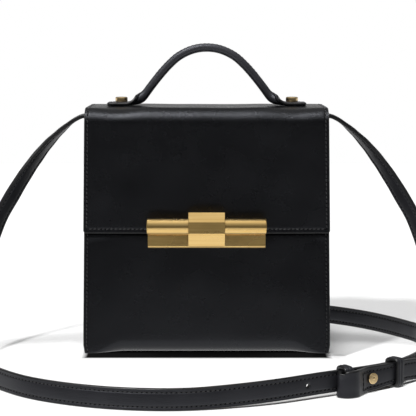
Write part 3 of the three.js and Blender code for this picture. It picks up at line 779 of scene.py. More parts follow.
def flap_at(s, w, d):
    """Flap: s 0..5 runs up the back, over the top and down the front to its edge; w is -HALF..HALF."""
    u = w / HALF
    low = BAG_H - FLAP_R
    back = BAG_D / 2 + GAP + FLAP_T
    front = -(BAG_D / 2 + FLAP_CLEAR + FLAP_T)

    def profile(deep):
        r = FLAP_R - deep
        rise = clamp01(s - 1) * math.pi / 2
        fall = clamp01(s - 3) * math.pi / 2
        top = lerp(back - FLAP_R, front + FLAP_R, clamp01(s - 2))
        y = np.where(s < 2, back - FLAP_R + r * np.cos(rise), top)
        y = np.where(s > 3, front + FLAP_R - r * np.sin(fall), y)
        z = np.where(s < 1, lerp(FLAP_BACK_Z, low, s), low + r * np.sin(rise))
        z = np.where(s > 3, low + r * np.cos(fall), z)
        z = np.where(s > 4, lerp(low, FLAP_EDGE_Z, s - 4), z)
        return y, z

    _, z_out = profile(np.zeros_like(d))
    from_side = flap_half(z_out) - np.abs(u) * flap_half(z_out)
    from_low = np.where(s > 4, z_out - FLAP_EDGE_Z, 99.0)
    from_edge = np.minimum(from_side, from_low - STITCH_LOW + STITCH_IN)
    calm = smooth(from_side / 14) * smooth(from_low / 10)
    waves = unrest(w, z_out * 1.1 + 30) * calm * np.where(s < 2, 0.4, 1.0)
    y, z = profile(sunk(d, sewn(from_edge), FLAP_T) - waves)
    x = u * flap_half(np.maximum(z_out, FLAP_EDGE_Z + 0.02))
    return stack(x, y + np.sign(y) * crown(u, z), z - press(x, y, z_out))


def make_body():
    columns = edge_stations(HALF, 3.2)
    flap_s = [(WRAP_TOP - FLAP_EDGE_Z - shift) / (WRAP_TOP - BASE_R) for shift in (5, -3)]
    top = spread([0.004, flap_s[0]], 0.03) + spread(flap_s, 0.0028)[1:] + spread([flap_s[1], 0.9], 0.03)[1:]
    turn = spread([0.9, 0.97, 1.0, 2.0], 0.125)[1:]
    base = [2.12, 2.25, 2.38]
    half_run = top + turn + base
    run = np.array(half_run + [2.5] + [5 - s for s in half_run[::-1]])
    rim = {"across": RIM_R, "along": 0.004, "deep": RIM_R}

    def grooved(s, w):
        """Seam stitch rows, and the flap edge's pressed line; both get the groove material's painted shade.
        """
        z = lerp(WRAP_TOP, lerp(SEAM_R, BASE_R, pinch(w / HALF)), s)
        return in_groove(HALF - abs(w)) or (s < 1 and FLAP_EDGE_Z - FLAP_SHADE < z < FLAP_EDGE_Z + 2)

    leather_piece("body_leather", wrap_at, run, columns, WALL_T, "body_wrap", rim=rim, grooved=grooved)


def make_gusset(name, sign):
    place = gusset_place(sign)
    round_u = []
    for a, b in zip(SEAM_MARKS[:-1], SEAM_MARKS[1:]):
        fine = 0.7 if b - a < BEND_RUN * 1.1 else 4.0
        round_u += spread([a, b], fine)[:-1]
    round_u.append(SEAM_MARKS[-1])
    inward = [0.0, FLANGE_RUN * 0.5, FLANGE_RUN] + [FLANGE_RUN + BEND_RUN * k / 6 for k in range(1, 7)]
    inward += [FLANGE_RUN + BEND_RUN + k / 12 for k in range(1, 13)]
    a, b = (part.ravel() for part in np.meshgrid(round_u, inward, indexing="ij"))
    points = np.concatenate([place(a, b, np.full(a.size, depth)) for depth in (0.0, GUSSET_T)])
    rows, cols = len(round_u), len(inward)
    layer = rows * cols
    faces = []
    for base in (0, layer):
        for i in range(rows - 1):
            for j in range(cols - 1):
                a = base + i * cols + j
                faces.append((a, a + 1, a + cols + 1, a + cols))
    for i in range(rows - 1):
        a = i * cols
        faces.append((a, a + cols, layer + a + cols, layer + a))
    for row in (0, rows - 1):
        for j in range(cols - 1):
            a = row * cols + j
            faces.append((a, layer + a, layer + a + 1, a + 1))
    piece = add_mesh(f"{name}_leather", points, faces, [leather, painted_edge], "leather", part_of=[name])
    turn_outward(piece.data, 0.02 * MM)


def make_flap():
    columns = edge_stations(HALF, 3.0)
    back = spread([0.01, 1.0], 0.12)
    turn_back = spread([1.0, 2.0], 0.1)[1:]
    top = spread([2.0, 3.0], 0.05)[1:]
    turn_front = spread([3.0, 4.0], 0.07)[1:]
    # The marks that lie round the stitch row move with it.
    shifted = [mark + (STITCH_LOW - STITCH_IN) * smooth(mark / STITCH_IN) for mark in EDGE_MARKS]
    near = [5 - mark / FLAP_DROP for mark in shifted]
    front = spread([4.0, near[-1]], 0.035)[1:] + near[-2::-1]
    run = np.array(back + turn_back + top + turn_front + front)
    rim = {"across": RIM_R, "along": RIM_R / FLAP_DROP, "deep": RIM_R}

    def grooved(s, w):
        from_side = HALF - abs(w)
        from_low = (5 - s) * FLAP_DROP
        side = in_groove(from_side) and from_low > STITCH_LOW - GROOVE_W
        low = in_groove(from_low, STITCH_LOW) and from_side > STITCH_IN - GROOVE_W
        return side or low

    leather_piece("flap_leather", flap_at, run, columns, FLAP_T, "flap", rim=rim, grooved=grooved)


# Handle: one strap whose long edges roll up and over towards each other as it rises from the tabs

# Shares of half the span and of the rise, and how far the edges are folded over.
ARCH = table("along up fold", [
    (0.0, 1.0, 1.0),
    (0.134, 0.968, 1.0),
    (0.275, 0.853, 1.0),
    (0.379, 0.695, 1.0),
    (0.481, 0.493, 1.0),
    (0.567, 0.3, 1.0),
    (0.627, 0.16, 0.92),
    (0.69, 0.055, 0.35),
    (0.771, 0.007, 0.04),
    (0.845, 0.0, 0.0),
    (0.965, 0.0, 0.0),
    (1.0, 0.0, 0.0),
])
TAB_Z = BAG_H + GAP + TAB_T / 2


def spline(points, t, smooth_steps=False):
    """Centripetal Catmull-Rom through points at t in 0..1, or eased from point to point by smooth_steps."""
    points = np.asarray(points, dtype=float)
    n = len(points)
    before = 2 * points[0] - points[1]
    after = 2 * points[-1] - points[-2]
    all_points = np.concatenate([[before], points, [after]])
    place = clamp01(np.asarray(t, dtype=float)) * (n - 1)
    i = np.minimum(np.floor(place).astype(int), n - 2)
    x = (place - i)[:, None]
    p0, p1, p2, p3 = (all_points[i + k] for k in range(4))
    if smooth_steps:
        return lerp(p1, p2, smooth(x))
    d0, d1, d2 = (np.sum((b - a) ** 2, axis=1)[:, None] ** 0.25 for a, b in ((p0, p1), (p1, p2), (p2, p3)))
    d0 = np.where(d0 < 1e-4, d1, d0)
    d2 = np.where(d2 < 1e-4, d1, d2)
    t1 = ((p1 - p0) / d0 - (p2 - p0) / (d0 + d1) + (p2 - p1) / d1) * d1
    t2 = ((p2 - p1) / d1 - (p3 - p1) / (d1 + d2) + (p3 - p2) / d2) * d1
    a = 2 * p1 - 2 * p2 + t1 + t2
    b = -3 * p1 + 3 * p2 - 2 * t1 - t2
    return ((a * x + b) * x + t1) * x + p1


class Curve:
    """A smooth curve through points, read by distance along it."""

    def __init__(self, points, steps=1200):
        self.points = points
        self.ts = np.linspace(0, 1, steps + 1)
        placed = spline(points, self.ts)
        self.reach = np.concatenate([[0], np.cumsum(np.linalg.norm(np.diff(placed, axis=0), axis=1))])
        self.length = self.reach[-1]

    def t_at(self, distance):
        return np.interp(distance, self.reach, self.ts)

    def at(self, t):
        return spline(self.points, t)

    def tangent(self, t):
        step = 1e-4
        return unit(self.at(clamp01(t + step)) - self.at(clamp01(t - step)))


HALF_ARCH = [((row["along"] * HANDLE_SPAN) / 2, row["fold"], TAB_Z + row["up"] * HANDLE_RISE) for row in ARCH]
HANDLE = Curve([(-x, f, z) for x, f, z in HALF_ARCH[:0:-1]] + HALF_ARCH)
HANDLE_HALF = TAB_W / 2
ROLL_R = (FOLD_T - TAB_T) / 2  # radius of the rolled edge, to the leather's middle
ROLL = math.pi * ROLL_R
FLAT_HALF = FOLD_W / 2 - TAB_T / 2 - ROLL_R
HANDLE_LENGTH = HANDLE.length


def handle_at(s, w, d):
    """s is the distance along the handle, w across the unrolled strap, d in from its under side."""
    t = HANDLE.t_at(clamp01(s / HANDLE_LENGTH) * HANDLE_LENGTH)
    p = HANDLE.at(t)
    past = np.maximum(s - HANDLE_LENGTH, 0) - np.maximum(-s, 0)
    ahead = HANDLE.tangent(t)
    ahead[:, 1] = 0
    ahead = unit(ahead)
    up = stack(-ahead[:, 2], 0.0, ahead[:, 0])
    fold = clamp01(p[:, 1])
    from_end = np.minimum(s, HANDLE_LENGTH - s)
    v = np.abs(w) * (1 - corner_cut(from_end, TAB_CORNER_R) / HANDLE_HALF)
    theta = np.maximum(fold * math.pi, 1e-3)
    radius = ROLL / theta
    turned = clamp01((v - FLAT_HALF) / ROLL) * theta
    rest = np.maximum(v - FLAT_HALF - ROLL, 0)
    dip = HANDLE_DIP * rest * rest * fold
    x = np.minimum(v, FLAT_HALF) + radius * np.sin(turned) + rest * np.cos(theta) + dip * np.sin(theta)
    z = radius * (1 - np.cos(turned)) + rest * np.sin(theta) - dip * np.where(fold > 0.5, 1, 0)
    groove = np.maximum(sewn(HANDLE_HALF - np.abs(w), 0.9), sewn(from_end, 0.9) * (1 - fold))
    off = TAB_T / 2 - sunk(d, groove, TAB_T)
    x = x + off * np.sin(turned)
    z = z - off * np.cos(turned) - radius * (1 - np.cos(theta)) / 2
    middle = stack(p[:, 0], 0.0, p[:, 2]) + ahead * past[:, None]
    return middle + stack(0.0, np.sign(w) * x, 0.0) + up * z[:, None]


def make_handle():
    ends = [RIM_R, 1.0, 1.25, 1.6, 2.0, 2.3, 2.45, 2.6, 2.75, 2.9, 3.2, 3.8, 5.0, 7.0]
    middle = spread([ends[-1], HANDLE_LENGTH - ends[-1]], 0.9)
    run = np.array(ends[:-1] + middle + [HANDLE_LENGTH - e for e in ends[-2::-1]])
    across = edge_stations(HANDLE_HALF, 0.7)

    def grooved(s, w):
        return in_groove(HANDLE_HALF - abs(w))

    leather_piece(
        "handle_leather", handle_at, run, across, TAB_T, "handle", look=handle_leather, grooved=grooved
    )


# Turned brass heads

def lathe_points(outline, sides):
    """Rings of (radius, height) about +Z, with a point at either end."""
    turn = np.arange(sides) * 2 * math.pi / sides
    rings = [stack(r * np.cos(turn), r * np.sin(turn), h) for r, h in outline]
    points = np.concatenate(rings + [[[0, 0, outline[0][1]]], [[0, 0, outline[-1][1]]]])
    faces = tube_faces(len(outline), sides)
    low, high = len(outline) * sides, len(outline) * sides + 1
    last = (len(outline) - 1) * sides
    for j in range(sides):
        k = (j + 1) % sides
        faces.append((low, k, j))
        faces.append((high, last + j, last + k))
    return points, faces


def head_outline(diameter, height, ringed=False):
    """A flat-backed head: a short shank line, a rolled edge and a softly domed, finely ringed face."""
    r = diameter / 2
    edge_h = height * 0.62
    outline = [(r * 0.9, 0.0), (r * 0.94, 0.03), (r * 0.99, height * 0.16), (r, height * 0.3)]
    for k in range(1, 7):
        a = k / 6 * math.pi / 2
        outline.append((r * 0.88 + r * 0.12 * math.cos(a), edge_h + (height * 0.93 - edge_h) * math.sin(a)))
    rings = (0.80, 0.76, 0.72, 0.60, 0.56, 0.52, 0.36, 0.32, 0.28, 0.12) if ringed else (0.8, 0.6, 0.4, 0.2)
    for k, share in enumerate(rings):
        cut = 0.05 if ringed and k % 3 == 1 else 0.0
        outline.append((r * share, height * (1 - 0.07 * share * share) - cut))
    return outline


def place_along(points, at, axis):
    turn = Vector((0, 0, 1)).rotation_difference(Vector(axis)).to_matrix()
    return points @ np.array(turn).T + np.asarray(at)


def make_head(name, node, diameter, height, at, axis, ringed=False):
    points, faces = lathe_points(head_outline(diameter, height, ringed), 48)
    add_mesh(name, place_along(points, at, axis), faces, [brass_head], "metal", part_of=[node])


# Clasp

FLAP_FACE = -(BAG_D / 2 + FLAP_CLEAR + FLAP_T) - CROWN
BAR_Y = FLAP_FACE - BAR_OFF


def join(parts):
    """One list of points and one of faces out of several."""
    points, faces = np.zeros((0, 3)), []
    for part_points, part_faces in parts:
        faces += [tuple(x + len(points) for x in face) for face in part_faces]
        points = np.concatenate([points, part_points])
    return points, faces


def make_bar():
    r, half = BAR_D / 2, BAR_L / 2
    end = [(r * share, half) for share in (0.2, 0.5, 0.75)]
    rounded = [
        (r - BAR_ROUND + BAR_ROUND * math.sin(a), half - BAR_ROUND + BAR_ROUND * math.cos(a))
        for a in (k / 6 * math.pi / 2 for k in range(7))
    ]
    step = [half - 2.4 - k * (half - 2.4) / 12 for k in range(12)]
    upper = end + rounded + [(r, h) for h in step]
    outline = [(x, -h) for x, h in upper] + [(r, 0.0)] + upper[::-1]
    points, faces = lathe_points(outline, 64)
    parts = [(stack(points[:, 2], points[:, 0] + BAR_Y, points[:, 1] + BAR_Z), faces)]
    # On each side a post with a swelling foot, and a rounded plate against the flap.
    deep = BAR_OFF - GAP - FOOT_T
    post = [(POST_D / 2 + 0.35 * max(0, (k - 5) / 3) ** 2, deep * k / 8) for k in range(9)]
    for sign in (-1, 1):
        x = sign * (LEVER_W + BAR_L) / 4
        points, faces = lathe_points(post, 32)
        parts.append((place_along(points, (x, BAR_Y, BAR_Z), (0, 1, 0)), faces))
        points, faces = rounded_plate(FOOT_L, FOOT_H, FOOT_T, FOOT_CORNER_R, FOOT_EDGE_R)
        y = FLAP_FACE - GAP - FOOT_T
        parts.append((stack(points[:, 0] + x, points[:, 2] + y, points[:, 1] + BAR_Z), faces))
    add_mesh("clasp_bar_brass", *join(parts), [brass], "metal", part_of=["clasp_bar"])


def rounded_plate(long, high, thick, corner, edge):
    """A plate with round corners and a rolled edge on its front, at depth 0."""

    def ring(inset, depth):
        out = []
        r = max(corner - inset, 0.05)
        for cx, cy, start in ((1, 1, 0), (-1, 1, 90), (-1, -1, 180), (1, -1, 270)):
            x, y = cx * (long / 2 - corner), cy * (high / 2 - corner)
            for a in (math.radians(start + k * 15) for k in range(7)):
                out.append((x + r * math.cos(a), y + r * math.sin(a), depth))
        return out

    turn = (k / 4 * math.pi / 2 for k in range(5))
    rings = [ring(edge * (1 - math.sin(a)), edge * (1 - math.cos(a))) for a in turn] + [ring(0, thick)]
    size = len(rings[0])
    faces = tube_faces(len(rings), size)
    faces.append(tuple(range(size)))
    faces.append(tuple(range((len(rings) - 1) * size, len(rings) * size))[::-1])
    return np.concatenate(rings), faces


def prism_faces(outline, length, hole=None):
    """Points and faces of a y-z outline drawn along X; hole is a matching ring of y-z points inside it."""
    n = len(outline)
    points, faces = [], []
    for x in (-length / 2, length / 2):
        points += [(x, y, z) for y, z in outline]
        if hole:
            points += [(x, y, z) for y, z in hole]
    ring = 2 * n if hole else n
    for j in range(n):
        k = (j + 1) % n
        faces.append((j, k, ring + k, ring + j))
        if hole:
            faces.append((n + k, n + j, ring + n + j, ring + n + k))
            faces.append((j, n + j, n + k, k))
            faces.append((ring + k, ring + n + k, ring + n + j, ring + j))
    if not hole:
        faces.append(tuple(range(n))[::-1])
        faces.append(tuple(range(n, 2 * n)))
    return points, faces


def make_plate():
    back = -(BAG_D / 2 + CROWN + GAP)
    front = back - PLATE_T
    low = PLATE_TOP - PLATE_H
    cut = PLATE_BEVEL * 1.1
    outline = [(back, low), (back, PLATE_TOP), (front, PLATE_TOP), (front, low + cut), (front + cut, low)]
    points, faces = prism_faces(outline, PLATE_L)
    piece = add_mesh(
        "clasp_plate_brass", points, faces, [brass], "metal", part_of=["clasp_plate"], smooth_faces=False
    )
    round_edges(piece, PLATE_EDGE_R)


def lever_outline(sleeve):
    marks = [
        (-sleeve * 0.33, LEVER_RISE),
        (-sleeve, LEVER_RISE * 0.37),
        (-sleeve, -LEVER_DROP * 0.3),
        (-sleeve * 0.2, -LEVER_DROP),
        (-sleeve * 0.2 + LEVER_LIP, -LEVER_DROP),
        (-sleeve * 0.2 + LEVER_LIP, -sleeve * 0.97),
    ]
    low, high = -math.pi / 2 + 0.42, math.pi / 2 - 0.2
    turn = (lerp(low, high, k / 16) for k in range(1, 17))
    return marks + [(sleeve * math.cos(a), sleeve * math.sin(a)) for a in turn]


def make_lever():
    bore = BAR_D / 2 + GAP
    outline = lever_outline(bore + LEVER_WALL - GAP)
    # Each straight run is split, so that the bore inside it stays round.
    fine_out, fine_in = [], []
    for k, (y, z) in enumerate(outline):
        y2, z2 = outline[(k + 1) % len(outline)]
        count = max(1, math.ceil(math.hypot(y2 - y, z2 - z) / 1.6))
        for j in range(count):
            p = (lerp(y, y2, j / count), lerp(z, z2, j / count))
            far = math.hypot(*p)
            fine_out.append(p)
            fine_in.append((p[0] / far * bore, p[1] / far * bore))
    points, faces = prism_faces(fine_out, LEVER_W, fine_in)
    placed = [(x, y + BAR_Y, z + BAR_Z) for x, y, z in points]
    piece = add_mesh(
        "clasp_lever_brass", placed, faces, [brass], "metal", TURNING, ["clasp_lever"], smooth_faces=False
    )
    round_edges(piece, LEVER_EDGE_R)


# Shoulder strap

# The strands' fall from the sides: out of SIDE_REACH beyond the side, fore of FRONT_REACH, up of EXIT_Z;
# across is the strap's width direction for the left strand.
HANG = table("out fore up across", [
    (0.048, 0, 1.0, (0, -1, 0)),
    (0.103, 0, 0.99, (0, -1, 0)),
    (0.157, 0, 0.974, (0, -1, 0.02)),
    (0.265, 0, 0.93, (-0.12, -0.97, 0.1)),
    (0.375, 0.002, 0.876, (-0.26, -0.94, 0.18)),
    (0.485, 0.011, 0.81, (-0.38, -0.89, 0.25)),
    (0.596, 0.021, 0.733, (-0.49, -0.82, 0.27)),
    (0.704, 0.032, 0.648, (-0.56, -0.77, 0.29)),
    (0.806, 0.042, 0.559, (-0.52, -0.8, 0.3)),
    (0.907, 0.084, 0.417, (-0.48, -0.78, 0.4)),
    (0.984, 0.158, 0.269, (-0.52, -0.32, 0.78)),
    (1.002, 0.263, 0.143, (-0.28, -0.08, 0.95)),
])

# The long strap on the floor: x of the reach from the bag's middle, y of FRONT_REACH or BACK_REACH, lift of
# the keepers' lift.
FLOOR = table("x y lift", [
    (-0.975, -0.41, 1.3),
    (-0.914, -0.553, 0.06),
    (-0.871, -0.64, 0),
    (-0.807, -0.721, 0),
    (-0.688, -0.836, 0),
    (-0.542, -0.921, 0),
    (-0.36, -0.984, 0),
    (-0.184, -1.008, 0),
    (-0.053, -1.003, 0.06),
    (0.078, -0.979, 0.35),
    (0.251, -0.927, 0.75),
    (0.435, -0.84, 1),
    (0.618, -0.747, 1),
    (0.706, -0.692, 1),
    (0.764, -0.637, 0.9),
    (0.828, -0.545, 0.6),
    (0.891, -0.42, 0.2),
    (0.936, -0.27, 0),
    (0.952, -0.12, 0),
    (0.939, 0.035, 0),
    (0.913, 0.141, 0),
    (0.823, 0.409, 0),
    (0.724, 0.633, 0),
    (0.591, 0.838, 0),
    (0.493, 0.925, 0),
    (0.393, 1, 0),
])

LANDING = table("x y lift", [
    (1.01, -0.347, 1.7),
    (0.986, -0.432, 0.25),
    (0.943, -0.508, 0.1),
    (0.882, -0.572, 0.3),
    (0.816, -0.624, 0.7),
])

# The short strap's end beside the long one: along from the stud in LOOP_AT, off in strap thicknesses from
# the long strap's middle, lift as above and wide a share of FLARE.
FOLD = table("along off lift wide", [
    (1.4, 1.14, 0.95, 0),
    (1.05, 1.12, 1, 0),
    (0.6, 1.12, 0.95, 0.15),
    (0.2, 1.14, 0.75, 0.5),
    (-0.18, 1.2, 0.65, 0.65),
    (-0.37, 1.75, 0.5, 0.8),
    (-0.52, 2.25, 0.4, 0.9),
    (-0.66, 2.8, 0.3, 1),
    (-0.8, 3.4, 0.2, 1),
    (-0.98, 3.6, 0.2, 1),
    (-1.15, 3.4, 0.2, 1),
    (-1.28, 2.75, 0.3, 0.85),
    (-1.33, 2.0, 0.6, 0.5),
    (-1.26, 1.3, 1, 0.05),
    (-1.05, 1.12, 1, 0),
    (-0.82, 1.1, 1, 0),
    (-0.6, 1.1, 1, 0),
])

STUD_ROW = 12
LIFT = KEEPER_T + GAP
UP = np.array([0.0, 0.0, 1.0])


def half_at(z):
    return float(half_width(np.array([z]))[0])


REACH = half_at(EXIT_Z) + SIDE_REACH


def gusset_face(z):
    return half_at(z) - GUSSET_INSET


def on_floor(lift):
    """Height of the middle of a strap that stands on its edge, lift of LIFT above the floor."""
    return STRAP_W / 2 + LIFT * lift


def strand(sign):
    half = half_at(EXIT_Z)
    inside = gusset_face(RIVET_Z) - GUSSET_T - GAP - STRAP_T / 2
    start = [
        (inside - GAP, 0, RIVET_Z - RIVET_D),
        (inside - GAP, 0, GUSSET_TOP - STRAP_T * 2),
        (inside - GAP, 0, GUSSET_TOP + STRAP_T * 0.7),
        (inside + STRAP_T / 2, 0, EXIT_Z - STRAP_T * 0.4),
    ]
    rows = [(p, (0, -1, 0)) for p in start]
    for row in HANG:
        at = (half + row["out"] * SIDE_REACH, -row["fore"] * FRONT_REACH, row["up"] * EXIT_Z)
        rows.append((at, row["across"]))
    return [((sign * p[0], p[1], p[2]), (-sign * a[0], a[1], a[2]), 1.0) for p, a in rows]


def lying(rows):
    out = []
    for row in rows:
        reach = FRONT_REACH if row["y"] < 0 else BACK_REACH
        out.append(((row["x"] * REACH, row["y"] * reach, on_floor(row["lift"])), (0, 0, 1), 1.0))
    return out


class Route:
    """A strap's way through its rows, with its width direction at any distance."""

    def __init__(self, rows):
        self.curve = Curve([row[0] for row in rows])
        self.across = np.array([row[1] for row in rows], dtype=float)
        self.wide = np.array([row[2] for row in rows])
        self.count = len(rows)
        self.length = self.curve.length

    def up_to(self, row):
        return self.curve.reach[int(round(row / (self.count - 1) * (len(self.curve.reach) - 1)))]

    def frame(self, distance):
        t = self.curve.t_at(np.clip(distance, 0, self.length))
        at = self.curve.at(t)
        along = self.curve.tangent(t)
        at = at + along * (distance - np.clip(distance, 0, self.length))[:, None]
        wide = spline(self.across, t, smooth_steps=True)
        wide = unit(wide - along * np.sum(wide * along, axis=1)[:, None])
        scale = np.interp(t * (self.count - 1), np.arange(self.count), self.wide)
        out = unit(np.cross(along, wide))
        low = (np.abs(wide[:, 2]) * STRAP_W * scale + np.abs(out[:, 2]) * STRAP_T) / 2
        at[:, 2] = np.maximum(at[:, 2], low)
        return at, along, wide, out, scale


LONG = Route(strand(-1) + lying(FLOOR))
STUD_S = LONG.up_to(len(strand(-1)) + STUD_ROW)


def beside(s, off, lift):
    """A place beside the long strap: s along it from the stud, off outwards, and its outward direction."""
    at, along, _, _, _ = LONG.frame(np.array([STUD_S + s]))
    out = unit(np.cross(along, UP))[0]
    place = at[0] + out * off
    place[2] = on_floor(lift)
    return place, out, along[0]


fold_rows = []
for row in FOLD:
    place, _, _ = beside(row["along"] * LOOP_AT, row["off"] * STRAP_T, row["lift"])
    fold_rows.append((tuple(place), (0, 0, 1), 1 + FLARE * row["wide"]))
before_fold = strand(1) + lying(LANDING)
SHORT = Route(before_fold + fold_rows)
CLOSING_ROW = 6
CLOSING_S = SHORT.up_to(len(before_fold) + CLOSING_ROW)


def strap_at(route, closing=None):
    """The strap's surface; closing is the distance of a stitched row across it."""

    def at(s, w, d):
        middle, _, wide, out, scale = route.frame(s)
        narrow = 1 - corner_cut(np.minimum(s, route.length - s), STRAP_TIP_R) / (STRAP_W / 2)
        face = 1 - 2 * d / STRAP_T
        from_edge = STRAP_W / 2 - np.abs(w)
        groove = sewn(from_edge, STRAP_SEWN)
        if closing:
            inner = smooth((from_edge - STITCH_IN + GROOVE_W) / GROOVE_W)
            groove = groove * smooth((closing + GROOVE_W - s) / GROOVE_W)
            groove = np.maximum(groove, STRAP_SEWN * GROOVE_DEEP * ridge(s - closing, GROOVE_W) * inner)
        # The middle swells a little between the two stitched grooves.
        pad = STRAP_PAD * smooth((from_edge - STRAP_PAD_IN) / 3)
        d = sunk(d, groove, STRAP_T) - pad * face
        return middle + wide * (w * scale * narrow)[:, None] + out * (STRAP_T / 2 - d)[:, None]

    return at


def strap_run(route, gap, fine=()):
    """Stations along a strap, closer together over the stretches (from, to, gap) in fine."""
    marks = [RIM_R]
    gaps = []
    for start, stop, small in sorted(fine):
        if start > marks[-1]:
            marks.append(start)
            gaps.append(gap)
        marks.append(stop)
        gaps.append(small)
    marks.append(route.length - RIM_R)
    gaps.append(gap)
    out = [marks[0]]
    for start, stop, step in zip(marks[:-1], marks[1:], gaps):
        out += spread([start, stop], step)[1:]
    return np.array(out)


def make_straps():
    across = edge_stations(STRAP_W / 2, 0.75)
    holes = [(STUD_S + k * HOLE_PITCH, 0.0, HOLE_D / 2) for k in range(-1, HOLES_PAST + 1)]
    near = HOLE_D * 1.3
    fine = [(s - near, s + near, 0.5) for s, _, _ in holes]
    run = strap_run(LONG, 2.2, fine)

    def by_edge(s, w):
        return in_groove(STRAP_W / 2 - abs(w))

    def by_edge_or_closing(s, w):
        inner = STRAP_W / 2 - abs(w) > STITCH_IN
        return s < CLOSING_S + GROOVE_W and (by_edge(s, w) or (inner and s > CLOSING_S - GROOVE_W))

    leather_piece(
        "strap_long_leather", strap_at(LONG), run, across, STRAP_T, "strap_long", look=strap_leather,
        holes=holes, grooved=by_edge,
    )
    fold_from = SHORT.length - LOOP_AT * 3.6
    run = strap_run(SHORT, 2.2, [(fold_from, SHORT.length - 2, 0.6)])
    leather_piece(
        "strap_short_leather", strap_at(SHORT, CLOSING_S), run, across, STRAP_T, "strap_short",
        look=strap_leather, grooved=by_edge_or_closing,
    )


def keeper_at(s, inner, outer, width):
    """A leather ring round the straps; s runs round it, w across its width and d in from its outside."""
    centre, out, along = beside(s, 0, 1)
    base = np.array([centre[0], centre[1], 0.0])
    flat = unit(np.array([along[0], along[1], 0.0]))
    x0, x1 = inner + KEEPER_BEND, outer - KEEPER_BEND
    z0, z1 = LIFT - GAP + KEEPER_BEND, LIFT + STRAP_W + GAP - KEEPER_BEND
    sides = [x1 - x0, z1 - z0] * 2
    arc = KEEPER_BEND * math.pi / 2
    corners = [(x1, z0), (x1, z1), (x0, z1), (x0, z0)]
    total = sum(sides) + 4 * arc

    def at(t, w, d):
        run = np.mod(t, total)
        x = z = nx = nz = np.zeros_like(t)
        face = 1 - 2 * d / KEEPER_T
        from_edge = width / 2 - np.abs(w)
        # A crease by each edge and a groove along the middle of its swelling outside.
        deep = CREASE_DEEP * 1.6 * ridge(from_edge - 1.3, 0.35) + 0.32 * ridge(w, 0.5)
        grow = KEEPER_T - d - (deep - 0.28 * smooth(from_edge / 2.2)) * np.maximum(face, 0)
        start = 0.0
        for k in range(4):
            heading = (k - 1) * math.pi / 2
            dx, dz = math.cos(heading), math.sin(heading)
            cx, cz = corners[k - 1]
            past = run - start
            spot = (cx + dx * KEEPER_BEND - dz * past, cz + dz * KEEPER_BEND + dx * past, dx, dz)
            on_side = (past >= 0) & (past < sides[k])
            x, z, nx, nz = (np.where(on_side, new, old) for new, old in zip(spot, (x, z, nx, nz)))
            start += sides[k]
            past = run - start
            cx, cz = corners[k]
            dx, dz = np.cos(heading + past / KEEPER_BEND), np.sin(heading + past / KEEPER_BEND)
            spot = (cx + KEEPER_BEND * dx, cz + KEEPER_BEND * dz, dx, dz)
            turning = (past >= 0) & (past <= arc)
            x, z, nx, nz = (np.where(turning, new, old) for new, old in zip(spot, (x, z, nx, nz)))
            start += arc
        x, z = x + nx * grow, z + nz * grow
        return base + out * x[:, None] + UP * z[:, None] + flat * w[:, None]

    return at, total


def make_keeper(name, s, inner, outer, width):
    at, total = keeper_at(s, inner, outer, width)
    across = edge_stations(width / 2, 0.3, 0.8)
    across = across[np.abs(across) <= width / 2 - RIM_R + 1e-6]
    run = np.linspace(0, total, 97)[:-1]
    leather_piece(f"{name}_leather", at, run, across, KEEPER_T, name, look=strap_leather, closed=True)


def make_stitches():
    """All rows of stitches. The counts in linspace say how finely a row's path is read."""
    flap_thread = Thread()
    low = 5 - STITCH_LOW / FLAP_DROP
    side = HALF - STITCH_IN
    down = np.linspace(0.06, low - 0.4 / FLAP_DROP, 260)
    along = np.linspace(1.4 - side, side - 1.4, 160)
    for sign in (-1, 1):
        sew_row(flap_thread, flap_at, down, sign * side)
    for s in (low, 1 - (FLAP_SEWN - STITCH_IN) / FLAP_SEWN):
        sew_row(flap_thread, flap_at, s, along)
    flap_thread.finish("flap_stitches")

    body_thread = Thread()
    down = np.concatenate([np.linspace(0.02, 0.99, 150), np.linspace(1.0, 2.0, 12)[1:], [2.2, 2.5]])
    seam = np.concatenate([down, 5 - down[-2::-1]])
    for sign in (-1, 1):
        sew_row(body_thread, wrap_at, seam, sign * side)
    body_thread.finish("body_seam_stitches")

    handle_thread = Thread()
    run = np.linspace(STITCH_IN, HANDLE_LENGTH - STITCH_IN, 400)
    side = HANDLE_HALF - STITCH_IN
    tab = 0.235 * HANDLE_LENGTH
    middle = (run > tab + 4) & (run < HANDLE_LENGTH - tab - 4)
    for sign in (-1, 1):
        for part in (run < tab, run > HANDLE_LENGTH - tab):
            sew_row(handle_thread, handle_at, run[part], sign * side, TAB_T)
        sew_row(handle_thread, handle_at, run[middle], sign * side, radius=ROLLED_STITCH_R)
    wide = np.linspace(1.6 - side, side - 1.6, 40)
    for s in (STITCH_IN, HANDLE_LENGTH - STITCH_IN):
        sew_row(handle_thread, handle_at, s, wide, TAB_T)
    handle_thread.finish("handle_stitches")

    strap_thread = Thread()
    side = STRAP_W / 2 - STITCH_IN
    for route, closing in ((LONG, None), (SHORT, CLOSING_S)):
        run = np.linspace(3, closing or route.length - 3, int(route.length / 2))
        for sign in (-1, 1):
            for far in (0.0, STRAP_T):
                sew_row(strap_thread, strap_at(route, closing), run, sign * side, far)
    across = np.linspace(GROOVE_W - side, side - GROOVE_W, 24)
    sew_row(strap_thread, strap_at(SHORT, CLOSING_S), CLOSING_S, across, STRAP_T)
    strap_thread.finish("strap_stitches", "strap_leather")


# Stage, camera and light

def add_plane(name, corners, look=None, unseen_by=()):
    """A stage plane through corners in millimetres, left out for the kinds of rays in unseen_by."""
    mesh = bpy.data.meshes.new(name)
    mesh.from_pydata([(x * MM, y * MM, z * MM) for x, y, z in corners], [], [(0, 1, 2, 3)])
    if look:
        mesh.materials.append(look)
    plane = bpy.data.objects.new(name, mesh)
    bpy.context.scene.collection.objects.link(plane)
    for rays in unseen_by:
        setattr(plane, f"visible_{rays}", False)


